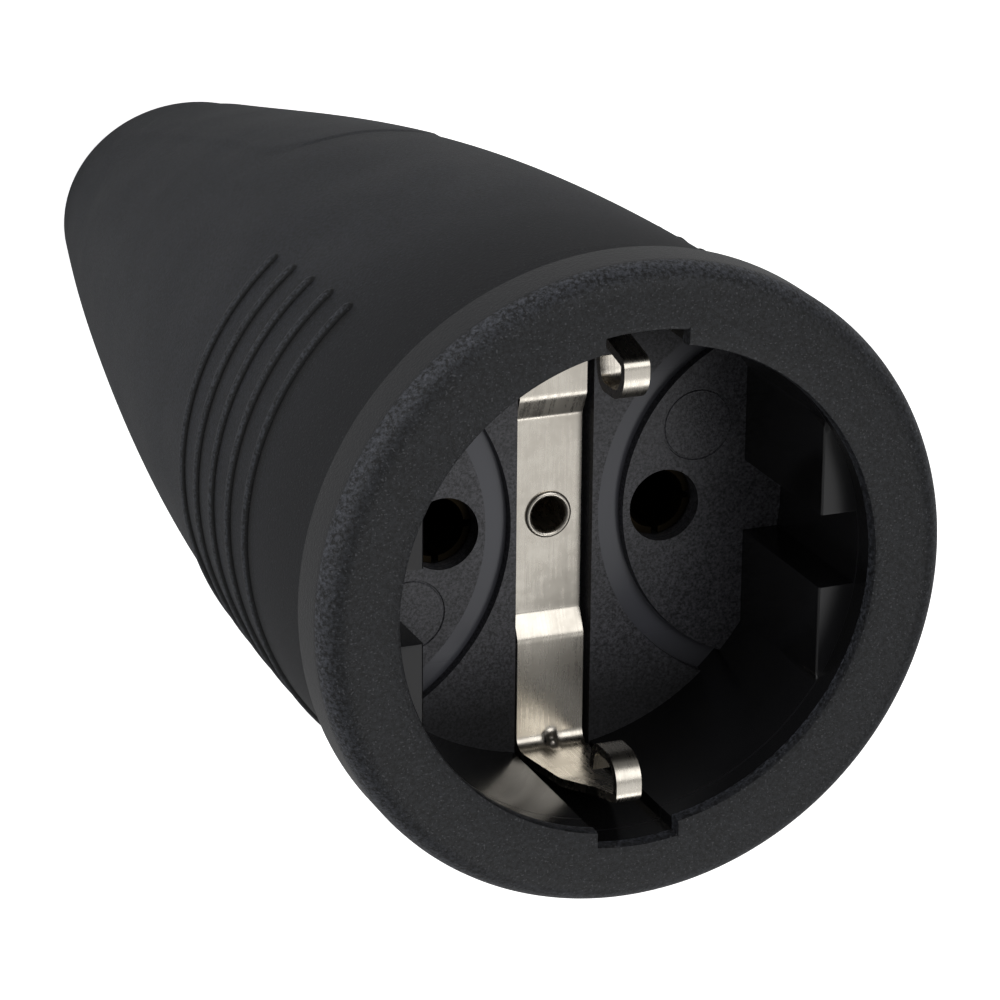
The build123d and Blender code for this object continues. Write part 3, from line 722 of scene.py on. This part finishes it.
def rounded_path(corners, bends, step):
    """Straight runs joined by arcs, sampled at even steps. An arc touches both runs at its radius
    over the tangent of half the corner's angle, and its centre lies on the corner's bisector."""
    corners = np.asarray(corners, dtype=float)
    stretches = [corners[:1]]
    for before, corner, after, bend in zip(corners, corners[1:], corners[2:], bends):
        back = (before - corner) / np.linalg.norm(before - corner)
        ahead = (after - corner) / np.linalg.norm(after - corner)
        half = np.arccos(np.clip(back @ ahead, -1, 1)) / 2
        middle = (back + ahead) / np.linalg.norm(back + ahead)
        centre = corner + middle * bend / np.sin(half)
        touch_in, touch_out = (
            corner + side * bend / np.tan(half) - centre for side in (back, ahead)
        )
        start = np.arctan2(touch_in[1], touch_in[0])
        sweep = np.arctan2(touch_out[1], touch_out[0]) - start
        sweep = (sweep + np.pi) % (2 * np.pi) - np.pi
        turn = start + sweep * np.linspace(0, 1, 16)
        stretches.append(centre + bend * np.stack([np.cos(turn), np.sin(turn)], axis=1))
    stretches.append(corners[-1:])
    path = np.concatenate(stretches)
    length = np.concatenate([[0], np.cumsum(np.linalg.norm(np.diff(path, axis=0), axis=1))])
    even = np.linspace(0, length[-1], int(length[-1] / step) + 1)
    return np.stack([np.interp(even, length, path[:, axis]) for axis in (0, 1)], axis=1)


strap_path = rounded_path(strap_corners, strap_bends, PATH_STEP)
print("half of the strip, in mm:", round(PATH_STEP * (len(strap_path) - 1), 1))

# %% Strip with its taper, gussets and central hole
GUSSET_LIFT, GUSSET_WIDTH, GUSSET_LENGTH, GUSSET_INSET = 0.5, 0.42, 1.1, 0.4
STRIP_COLUMNS = 25
STRAP_HOLE = 1.72
away, depth = strap_path.T
tangent = np.gradient(strap_path, axis=0)
tangent /= np.linalg.norm(tangent, axis=1, keepdims=True)
inward, upward = tangent[:, 1], tangent[:, 0]
run = PATH_STEP * np.arange(len(strap_path))
from_bend = np.abs(away - LEG_FOOT + GUSSET_INSET) + np.abs(depth - FLAT_MID + GUSSET_INSET)
bend_run = run[np.argmin(from_bend)]
half_width = np.interp(depth, [TAPER_END, TAPER_START], [CLIP_HALF, STRAP_HALF])
past_leg = run > run[np.argmax(away > LEG_FOOT - 0.01)]
half_width = np.where(past_leg, half_width, STRAP_HALF)
half_width = np.where(run > run[np.argmin(depth)], CLIP_HALF, half_width)

share = np.linspace(-1, 1, STRIP_COLUMNS)
x = share[None] * half_width[:, None]
past_bend = (run[:, None] - bend_run) / GUSSET_LENGTH
gusset = np.exp(-((x / GUSSET_WIDTH) ** 4) - past_bend**4) * GUSSET_LIFT


def strip_side(lift):
    """Points of the strip at a lift from its middle surface, towards the inside of the well."""
    y = away[:, None] + inward[:, None] * (lift + gusset)
    z = BODY_LENGTH - depth[:, None] + upward[:, None] * (lift + gusset)
    return np.stack([x, y, z], axis=-1)


strip = np.concatenate([strip_side(STRIP_HALF_THICK), strip_side(-STRIP_HALF_THICK)], axis=-1)
hole_x, hole_y = square_loop(share * STRAP_HALF)
strap_middle = BODY_LENGTH - DIP_MID


def strap_level_loop(loop_x, loop_y):
    """A loop of points on the flat middle of the strap, above and below."""
    upper = np.full_like(loop_x, strap_middle + STRIP_HALF_THICK)
    lower = np.full_like(loop_x, strap_middle - STRIP_HALF_THICK)
    return np.stack([loop_x, loop_y, upper, loop_x, loop_y, lower], axis=-1)


to_hole = STRAP_HOLE / np.hypot(hole_x, hole_y)
hole_loop = strap_level_loop(hole_x * to_hole, hole_y * to_hole)
hole_sheet = ruled(strap_level_loop(hole_x, hole_y), hole_loop, 7)
both_places, strap_faces = join_sheets([strip, half_turned(strip), hole_sheet])
strap_points, strap_faces = close_sheet(both_places[:, :3], strap_faces, both_places[:, 3:])
strap_piece = make_piece("earth_strip", *merge_equal(strap_points, strap_faces), sharp_degrees=50)
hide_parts("earth_strap")

# %% Hollow rivet
RIVET_LIP_RADIUS, RIVET_LIP_DEPTH, RIVET_LIP_SIZE = 1.72, 18.9, 0.27
RIVET_BORE, RIVET_BODY, RIVET_LIP_OUTER, RIVET_END = 1.45, 1.75, 1.95, 24.4
rivet_round = np.stack(
    arc_stations(RIVET_LIP_RADIUS, RIVET_LIP_DEPTH, RIVET_LIP_SIZE, 180, 40, 9), axis=1
)
rivet_profile = [
    (RIVET_BORE, RIVET_END),
    *rivet_round,
    (RIVET_LIP_OUTER, RIVET_LIP_DEPTH - 0.08),
    (RIVET_LIP_OUTER, RIVET_LIP_DEPTH),
    (RIVET_BODY, RIVET_LIP_DEPTH + 0.05),
    (RIVET_BODY, RIVET_END),
]
rivet_piece = turned_ring("hollow_rivet", rivet_profile, count=96)
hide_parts("strap_rivet")

# %% [markdown]
# ## Finishes
# Every finish starts from a real material: what it is, how it was made, and what the eye gets from
# it. One small function adds a shader node, sets its properties and fills its sockets, so that each
# material below reads as a list of what it is made of. Patterns lie in the object's own metres, so
# a scale is one over the size of a grain.

# %% Colour and node helpers
def colour(hex_value):
    """A linear colour from an sRGB hex value, by the sRGB curve."""
    parts = np.array([int(hex_value[i : i + 2], 16) for i in (1, 3, 5)]) / 255
    linear = np.where(parts <= 0.04045, parts / 12.92, ((parts + 0.055) / 1.055) ** 2.4)
    return (*linear.tolist(), 1.0)


def fill_sockets(material, node, sockets):
    """Links each socket that is given an output, and sets each one that is given a value."""
    for name, value in sockets.items():
        if isinstance(value, bpy.types.NodeSocket):
            material.node_tree.links.new(value, node.inputs[name])
        else:
            node.inputs[name].default_value = value


# a Mix node names its number and its colour sockets alike, so the colour ones go by their places
COLOUR_A, COLOUR_B, MIXED = 6, 7, 2


def add_node(material, kind, sockets, **settings):
    """Adds a shader node, sets its properties and fills its sockets."""
    node = material.node_tree.nodes.new("ShaderNode" + kind)
    for name, value in settings.items():
        setattr(node, name, value)
    fill_sockets(material, node, sockets)
    return node


def start_material(name):
    """A new material, its Principled shader, and the object's own coordinates in metres."""
    material = bpy.data.materials.new(name)
    material.use_nodes = True
    place = add_node(material, "TexCoord", {}).outputs["Object"]
    return material, material.node_tree.nodes["Principled BSDF"], place


def dress(material, *pieces):
    """Gives the material to pieces, in every slot that they have."""
    for piece in pieces:
        if not piece.data.materials:
            piece.data.materials.append(None)
        for number in range(len(piece.data.materials)):
            piece.data.materials[number] = material


def at_depth(depth):
    """Height in metres of a depth in millimetres."""
    return (BODY_LENGTH - depth) * MM


def grain(size_mm):
    """Pattern scale for grains of a size in millimetres."""
    return 1 / (size_mm * MM)


# %% Rubber of the sleeve
# Moulded black rubber with a chalky skin: it gives the eye a soft grey sheen on the lit side. Its
# colour is darkened towards the neck as painted shade, where that sheen fades, and it grows duller
# there. The front of the collar and the crests of the ribs came off coarser, spark-eroded steel, so
# their grain is coarser. Light grey flecks stand for dirt all over, and on the collar's front they
# are stronger as painted glints where grains catch the light. The collar's round edge has lighter
# grain towards its outer side as a painted highlight, the crests are lighter as a painted
# highlight, and the ribs' flanks are darkened as painted shade. Such grain is finer than the eye
# can part at this distance, so it is drawn at 0.17 to 0.3 mm, as coarse as it needs to show.
rubber, shader, place = start_material("vulcanised_rubber")
height = add_node(rubber, "SeparateXYZ", {"Vector": place}).outputs["Z"]
rim = add_node(
    rubber, "MapRange", {"Value": height, "From Min": at_depth(1.9), "From Max": at_depth(1.8)}
).outputs["Result"]
# painted shade: darker towards the neck, where the sleeve's sheen fades; this mask also makes the
# skin duller there
painted_neck_shade_and_dullness = add_node(
    rubber,
    "MapRange",
    {"Value": height, "From Min": at_depth(34.0), "From Max": at_depth(NECK_DEPTH)},
    interpolation_type="SMOOTHSTEP",
).outputs["Result"]
patterns = ((0.25, 3.0, 0.7), (0.3, 2.0, 0.7), (9.0, 3.0, 0.5), (0.17, 0.0, 0.5))
fine, coarse, cloud, dust_and_glint_noise = (
    add_node(
        rubber,
        "TexNoise",
        {"Vector": place, "Scale": grain(size), "Detail": detail, "Roughness": rough},
    ).outputs["Fac"]
    for size, detail, rough in patterns
)
rib = add_node(rubber, "Attribute", {}, attribute_name="rib").outputs["Fac"]
flank = add_node(
    rubber, "MapRange", {"Value": rib, "From Min": 0.0, "From Max": 0.08}
).outputs["Result"]
crest = add_node(
    rubber, "MapRange", {"Value": rib, "From Min": 0.55, "From Max": 0.8}
).outputs["Result"]
gritty = add_node(rubber, "Math", {0: rim, 1: crest}, operation="MAXIMUM").outputs["Value"]
relief = add_node(rubber, "Mix", {"Factor": gritty, "A": fine, "B": coarse})
depth_of_grain = add_node(
    rubber, "MapRange", {"Value": gritty, "To Min": 0.85, "To Max": 1.0}
).outputs["Result"]
bump = add_node(
    rubber,
    "Bump",
    {"Strength": depth_of_grain, "Distance": 0.07 * MM, "Height": relief.outputs["Result"]},
)
chalk = add_node(rubber, "MapRange", {"Value": fine, "From Min": 0.41, "From Max": 0.59})
chalky = add_node(
    rubber,
    "Mix",
    {"Factor": chalk.outputs["Result"], COLOUR_A: colour("#090B10"), COLOUR_B: colour("#22252D")},
    data_type="RGBA",
)
skin = add_node(
    rubber,
    "Mix",
    {"Factor": painted_neck_shade_and_dullness, COLOUR_A: chalky.outputs[MIXED], COLOUR_B: colour("#0A0C12")},
    data_type="RGBA",
)
grains = add_node(rubber, "MapRange", {"Value": coarse, "From Min": 0.38, "From Max": 0.66})
# painted highlight: the coarse grain on the collar's round edge is lighter towards its outer side
fillet_highlight = add_node(
    rubber, "MapRange", {"Value": height, "From Min": at_depth(0.05), "From Max": at_depth(1.1)}
)
fillet_highlight_tint = add_node(
    rubber,
    "Mix",
    {
        "Factor": fillet_highlight.outputs["Result"],
        COLOUR_A: colour("#232529"),
        COLOUR_B: colour("#4C4F57"),
    },
    data_type="RGBA",
)
grainy = add_node(
    rubber,
    "Mix",
    {
        "Factor": grains.outputs["Result"],
        COLOUR_A: colour("#050609"),
        COLOUR_B: fillet_highlight_tint.outputs[MIXED],
    },
    data_type="RGBA",
)
# painted highlight: lighter coarse grain on the crests of the ribs
crest_highlight_tint = add_node(
    rubber,
    "Mix",
    {"Factor": grains.outputs["Result"], COLOUR_A: colour("#0C0D11"), COLOUR_B: colour("#3C3F46")},
    data_type="RGBA",
)
# the ribs: crests with their painted highlight, flanks near black as painted shade
rib_highlight_and_shade = add_node(
    rubber,
    "Mix",
    {"Factor": crest, COLOUR_A: colour("#040507"), COLOUR_B: crest_highlight_tint.outputs[MIXED]},
    data_type="RGBA",
)
sides = add_node(
    rubber,
    "Mix",
    {"Factor": flank, COLOUR_A: skin.outputs[MIXED], COLOUR_B: rib_highlight_and_shade.outputs[MIXED]},
    data_type="RGBA",
)
bare = add_node(
    rubber,
    "Mix",
    {"Factor": rim, COLOUR_A: sides.outputs[MIXED], COLOUR_B: grainy.outputs[MIXED]},
    data_type="RGBA",
)
# light grey flecks: dirt all over, and painted glints where grains catch the light, stronger on the
# collar's front
specks = add_node(
    rubber, "MapRange", {"Value": dust_and_glint_noise, "From Min": 0.68, "From Max": 0.8, "To Max": 0.3}
)
rim_glint_weight = add_node(rubber, "MapRange", {"Value": rim, "To Min": 0.35}).outputs["Result"]
glints_and_dust = add_node(rubber, "Math", {0: specks.outputs["Result"], 1: rim_glint_weight}, operation="MULTIPLY")
speckled = add_node(
    rubber,
    "Mix",
    {
        "Factor": glints_and_dust.outputs["Value"],
        COLOUR_A: bare.outputs[MIXED],
        COLOUR_B: colour("#77787D"),
    },
    data_type="RGBA",
)
dull = add_node(rubber, "Math", {0: cloud, 1: 0.16, 2: 0.58}, operation="MULTIPLY_ADD")
dry = add_node(
    rubber, "Mix", {"Factor": painted_neck_shade_and_dullness, "A": dull.outputs["Value"], "B": 0.78}
).outputs["Result"]
collar = add_node(
    rubber,
    "MapRange",
    {"Value": height, "From Min": at_depth(COLLAR_DEPTH), "From Max": at_depth(COLLAR_DEPTH - 0.2)},
).outputs["Result"]
band = add_node(
    rubber, "MapRange", {"Value": rim, "To Min": 0.46, "To Max": 0.55}
).outputs["Result"]
sheen = add_node(rubber, "Mix", {"Factor": collar, "A": dry, "B": band}).outputs["Result"]
fill_sockets(
    rubber,
    shader,
    {"Base Color": speckled.outputs[MIXED], "Roughness": sheen, "Normal": bump.outputs["Normal"]},
)
dress(rubber, sleeve_piece)

# %% Plastic of the floor
# Filled polyamide off a spark-eroded steel: a fine matt grain that looks dark grey and sparkles.
# The grooves were cut and polished in the steel, so they stay smooth and mirror the lamp, and their
# colour is lightened as a painted reflection. Towards the notches behind the spring clips the
# colour is darkened as painted shade, as the floor there lies deep in the well, and the skin turns
# dull. The pits are drawn at 0.2 mm, coarser than real ones, so that they show.
floor_plastic, shader, place = start_material("eroded_polyamide")
split = add_node(floor_plastic, "SeparateXYZ", {"Vector": place})
height = split.outputs["Z"]
from_middle = add_node(
    floor_plastic, "Math", {0: split.outputs["Y"]}, operation="ABSOLUTE"
).outputs["Value"]
# painted shade: the floor darkens towards both notches, deep in the well; the same mask dulls it
painted_notch_shade = add_node(
    floor_plastic,
    "MapRange",
    {"Value": from_middle, "From Min": 10.5 * MM, "From Max": 16.0 * MM, "To Max": 0.75},
).outputs["Result"]
band = add_node(
    floor_plastic,
    "Math",
    {0: height, 1: (FLOOR_HEIGHT - GROOVE_DEPTH) * MM, 2: 0.06 * MM},
    operation="COMPARE",
).outputs["Value"]
matt = add_node(
    floor_plastic, "MapRange", {"Value": band, "To Min": 1.0, "To Max": 0.0}
).outputs["Result"]
pits = add_node(
    floor_plastic,
    "TexNoise",
    {"Vector": place, "Scale": grain(0.2), "Detail": 2.0, "Roughness": 0.7},
)
bump = add_node(
    floor_plastic, "Bump", {"Strength": matt, "Distance": 0.025 * MM, "Height": pits.outputs["Fac"]}
)
grains = add_node(
    floor_plastic, "MapRange", {"Value": pits.outputs["Fac"], "From Min": 0.35, "From Max": 0.68}
)
skin = add_node(
    floor_plastic,
    "Mix",
    {"Factor": grains.outputs["Result"], COLOUR_A: colour("#202023"), COLOUR_B: colour("#606066")},
    data_type="RGBA",
)
# painted reflection: the polished grooves are lighter in colour where they mirror the lamp
painted_groove_reflection = add_node(
    floor_plastic,
    "Mix",
    {"Factor": band, COLOUR_A: skin.outputs[MIXED], COLOUR_B: colour("#5C5D64")},
    data_type="RGBA",
)
shaded = add_node(
    floor_plastic,
    "Mix",
    {"Factor": painted_notch_shade, COLOUR_A: painted_groove_reflection.outputs[MIXED], COLOUR_B: colour("#050506")},
    data_type="RGBA",
)
sheen = add_node(floor_plastic, "MapRange", {"Value": matt, "To Min": 0.22, "To Max": 0.34})
dull = add_node(
    floor_plastic, "Mix", {"Factor": painted_notch_shade, "A": sheen.outputs["Result"], "B": 0.8}
)
fill_sockets(
    floor_plastic,
    shader,
    {
        "Base Color": shaded.outputs[MIXED],
        "Roughness": dull.outputs["Result"],
        "Normal": bump.outputs["Normal"],
    },
)
dress(floor_plastic, floor_piece)

# %% Polished plastic of the wall
# The same polyamide off polished steel: near black, with soft mirror images and a few faint smears.
# Only the front faces of the guide ribs have the eroded grey.
wall_plastic, shader, place = start_material("polished_polyamide")
height = add_node(wall_plastic, "SeparateXYZ", {"Vector": place}).outputs["Z"]
rib_front = add_node(
    wall_plastic, "Math", {0: height, 1: at_depth(GUIDE_FRONT), 2: 0.1 * MM}, operation="COMPARE"
).outputs["Value"]
smear = add_node(wall_plastic, "TexNoise", {"Vector": place, "Scale": grain(3.0), "Detail": 4.0})
gloss = add_node(
    wall_plastic, "MapRange", {"Value": smear.outputs["Fac"], "To Min": 0.14, "To Max": 0.26}
)
skin = add_node(
    wall_plastic,
    "Mix",
    {"Factor": smear.outputs["Fac"], COLOUR_A: colour("#0E0E0F"), COLOUR_B: colour("#161617")},
    data_type="RGBA",
)
fronted = add_node(
    wall_plastic,
    "Mix",
    {"Factor": rib_front, COLOUR_A: skin.outputs[MIXED], COLOUR_B: colour("#1C1C1E")},
    data_type="RGBA",
)
dull = add_node(wall_plastic, "Mix", {"Factor": rib_front, "A": gloss.outputs["Result"], "B": 0.3})
fill_sockets(
    wall_plastic,
    shader,
    {"Base Color": fronted.outputs[MIXED], "Roughness": dull.outputs["Result"]},
)
dress(wall_plastic, wall_piece, *back_pieces)

# %% Plated strip
# Rolled strip with a nickel plate: the rolling leaves fine streaks along the strip, handling leaves
# dull blotches, and the plate mirrors the lamps with a warm tint. The streaks are drawn 0.22 mm
# wide, coarser than real ones, so that they show.
nickel, shader, place = start_material("nickel_plated_strip")
rolled = add_node(
    nickel, "Mapping", {"Vector": place, "Scale": (1.0, 0.05, 0.05)}
).outputs["Vector"]
streaks = add_node(
    nickel, "TexNoise", {"Vector": rolled, "Scale": grain(0.22), "Detail": 3.0, "Roughness": 0.6}
)
blotches = add_node(
    nickel, "TexNoise", {"Vector": place, "Scale": grain(2.2), "Detail": 5.0, "Roughness": 0.65}
)
wear = add_node(
    nickel, "Math", {0: streaks.outputs["Fac"], 1: blotches.outputs["Fac"]}, operation="MULTIPLY"
).outputs["Value"]
plate = add_node(
    nickel,
    "Mix",
    {"Factor": blotches.outputs["Fac"], COLOUR_A: colour("#BDB6AB"), COLOUR_B: colour("#DAD5CB")},
    data_type="RGBA",
)
dull = add_node(
    nickel,
    "MapRange",
    {"Value": wear, "From Min": 0.12, "From Max": 0.4, "To Min": 0.34, "To Max": 0.2},
)
bump = add_node(
    nickel, "Bump", {"Strength": 0.25, "Distance": 0.01 * MM, "Height": streaks.outputs["Fac"]}
)
fill_sockets(
    nickel,
    shader,
    {
        "Base Color": plate.outputs[MIXED],
        "Metallic": 1.0,
        "Roughness": dull.outputs["Result"],
        "Normal": bump.outputs["Normal"],
    },
)
dress(nickel, strap_piece, rivet_piece)


# %% Metals and plastic of the inside
# Turned, drawn and plated metal parts behind the floor. They differ in tint, in dullness and in the
# size of their stains, so one recipe with two tints and two numbers serves them all.
def stained_metal(name, clean, stain, stain_mm, roughness):
    """A metal whose stains, of a size in millimetres, are darker and duller than the rest."""
    material, shader, place = start_material(name)
    stains = add_node(
        material, "TexNoise", {"Vector": place, "Scale": grain(stain_mm), "Detail": 4.0}
    )
    tint = add_node(
        material,
        "Mix",
        {"Factor": stains.outputs["Fac"], COLOUR_A: colour(clean), COLOUR_B: colour(stain)},
        data_type="RGBA",
    )
    dull = add_node(
        material,
        "MapRange",
        {"Value": stains.outputs["Fac"], "To Min": roughness, "To Max": roughness + 0.25},
    )
    sockets = {
        "Base Color": tint.outputs[MIXED], "Metallic": 1.0, "Roughness": dull.outputs["Result"]
    }
    fill_sockets(material, shader, sockets)
    return material


carrier_plastic, shader, place = start_material("glass_filled_polyamide")
flow = add_node(carrier_plastic, "TexNoise", {"Vector": place, "Scale": grain(4.0), "Detail": 3.0})
skin = add_node(
    carrier_plastic,
    "Mix",
    {"Factor": flow.outputs["Fac"], COLOUR_A: colour("#3A3A3C"), COLOUR_B: colour("#4A4A4D")},
    data_type="RGBA",
)
dry = add_node(
    carrier_plastic, "MapRange", {"Value": flow.outputs["Fac"], "To Min": 0.45, "To Max": 0.6}
)
fill_sockets(
    carrier_plastic, shader, {"Base Color": skin.outputs[MIXED], "Roughness": dry.outputs["Result"]}
)

finishes = {
    # painted shade: the contact brass is darkened far below brass's own colour, so the pin holes
    # read dark
    "contact_brass": stained_metal("drawn_brass_darkened_as_shade", "#352D20", "#1E1A13", 1.5, 0.4),
    "spring_steel": stained_metal("blued_spring_steel", "#8C8F96", "#5A5C63", 1.0, 0.3),
    "zinc_steel": stained_metal("zinc_plated_steel", "#C2C6CC", "#8E9298", 0.8, 0.28),
    "moulded_carrier": carrier_plastic,
}
for part in frame["record"]["subparts"]:
    if part["material_slot"] in finishes:
        dress(finishes[part["material_slot"]], frame["nodes"][part["node"]])

# %% [markdown]
# ## Floor, lamps and camera
# The part stands on a sheet of white paper. A large soft lamp over the mouth is the key light, and
# two more, low on the camera's side, light the sleeve. A smaller one stands where the flat metal
# mirrors it to the camera and gives it a calm grey, and a bright one across from the camera lights
# the strap's bends. The world is dim, so the polished wall stays black.

# %% Paper
# White paper that keeps the soft shadow. The camera also sees it a little lighter than its own
# light makes it, as on a lit table, so it reads as a clean white page.
floor_mesh = bpy.data.meshes.new("studio_floor")
floor_mesh.from_pydata([(-3, -3, 0), (3, -3, 0), (3, 3, 0), (-3, 3, 0)], [], [(0, 1, 2, 3)])
studio_floor = bpy.data.objects.new("studio_floor", floor_mesh)
bpy.context.scene.collection.objects.link(studio_floor)
paper, shader, place = start_material("white_paper")
fibre = add_node(paper, "TexNoise", {"Vector": place, "Scale": grain(30.0), "Detail": 2.0})
tone = add_node(
    paper,
    "Mix",
    {"Factor": fibre.outputs["Fac"], COLOUR_A: colour("#F6F6F6"), COLOUR_B: colour("#FFFFFF")},
    data_type="RGBA",
)
seen = add_node(paper, "LightPath", {}).outputs["Is Camera Ray"]
lift = add_node(paper, "MapRange", {"Value": seen, "To Max": 0.9})
fill_sockets(
    paper,
    shader,
    {
        "Base Color": tone.outputs[MIXED],
        "Roughness": 0.9,
        "Emission Color": colour("#FFFFFF"),
        "Emission Strength": lift.outputs["Result"],
    },
)
dress(paper, studio_floor)


# %% Lamps
def soft_lamp(name, direction, distance, size, radiance):
    """A square lamp that faces the part: its watts are pi times its area times the brightness of
    its face."""
    light = bpy.data.lights.new(name, "AREA")
    light.size, light.energy = size, np.pi * size * size * radiance
    lamp = bpy.data.objects.new(name, light)
    ahead = Vector(direction).normalized()
    lamp.location = ahead * distance + Vector((0, 0, BODY_LENGTH * MM))
    lamp.rotation_euler = ahead.to_track_quat("Z", "Y").to_euler()
    bpy.context.scene.collection.objects.link(lamp)


soft_lamp("key_softbox", (0.36, 0.42, 0.83), 1.2, 0.75, 1.9)
soft_lamp("top_softbox", (-0.60, 0.78, 0.15), 1.2, 0.8, 1.4)
soft_lamp("side_softbox", (-0.95, 0.10, 0.30), 1.2, 0.9, 1.1)
soft_lamp("mouth_softbox", (0.354, -0.34, 0.871), 1.0, 0.5, 0.76)
soft_lamp("low_softbox", (0.25, -0.74, 0.62), 1.0, 0.5, 2.2)
world = bpy.data.worlds.new("studio")
bpy.context.scene.world = world
world.use_nodes = True
world.node_tree.nodes["Background"].inputs["Color"].default_value = colour("#FFFFFF")
world.node_tree.nodes["Background"].inputs["Strength"].default_value = 0.16

# %% Camera
CAMERA_PLACE = Vector((-0.127216, 0.119706, 0.395785))
CAMERA_AIM = Vector((-0.00112, -0.00117, 0.08574))
CAMERA_ROLL_DEGREES = 130.365
CAMERA_SENSOR, CAMERA_LENS = 36.0, 158.06
camera = bpy.data.objects.new("camera", bpy.data.cameras.new("camera"))
camera.data.sensor_width = CAMERA_SENSOR
camera.data.lens = CAMERA_LENS
look = (CAMERA_AIM - CAMERA_PLACE).to_track_quat("-Z", "Y").to_matrix()
roll = Matrix.Rotation(np.radians(CAMERA_ROLL_DEGREES), 3, "Z")
camera.matrix_world = Matrix.Translation(CAMERA_PLACE) @ (look @ roll).to_4x4()
bpy.context.scene.collection.objects.link(camera)
bpy.context.scene.camera = camera
bpy.context.scene.view_settings.view_transform = "Standard"
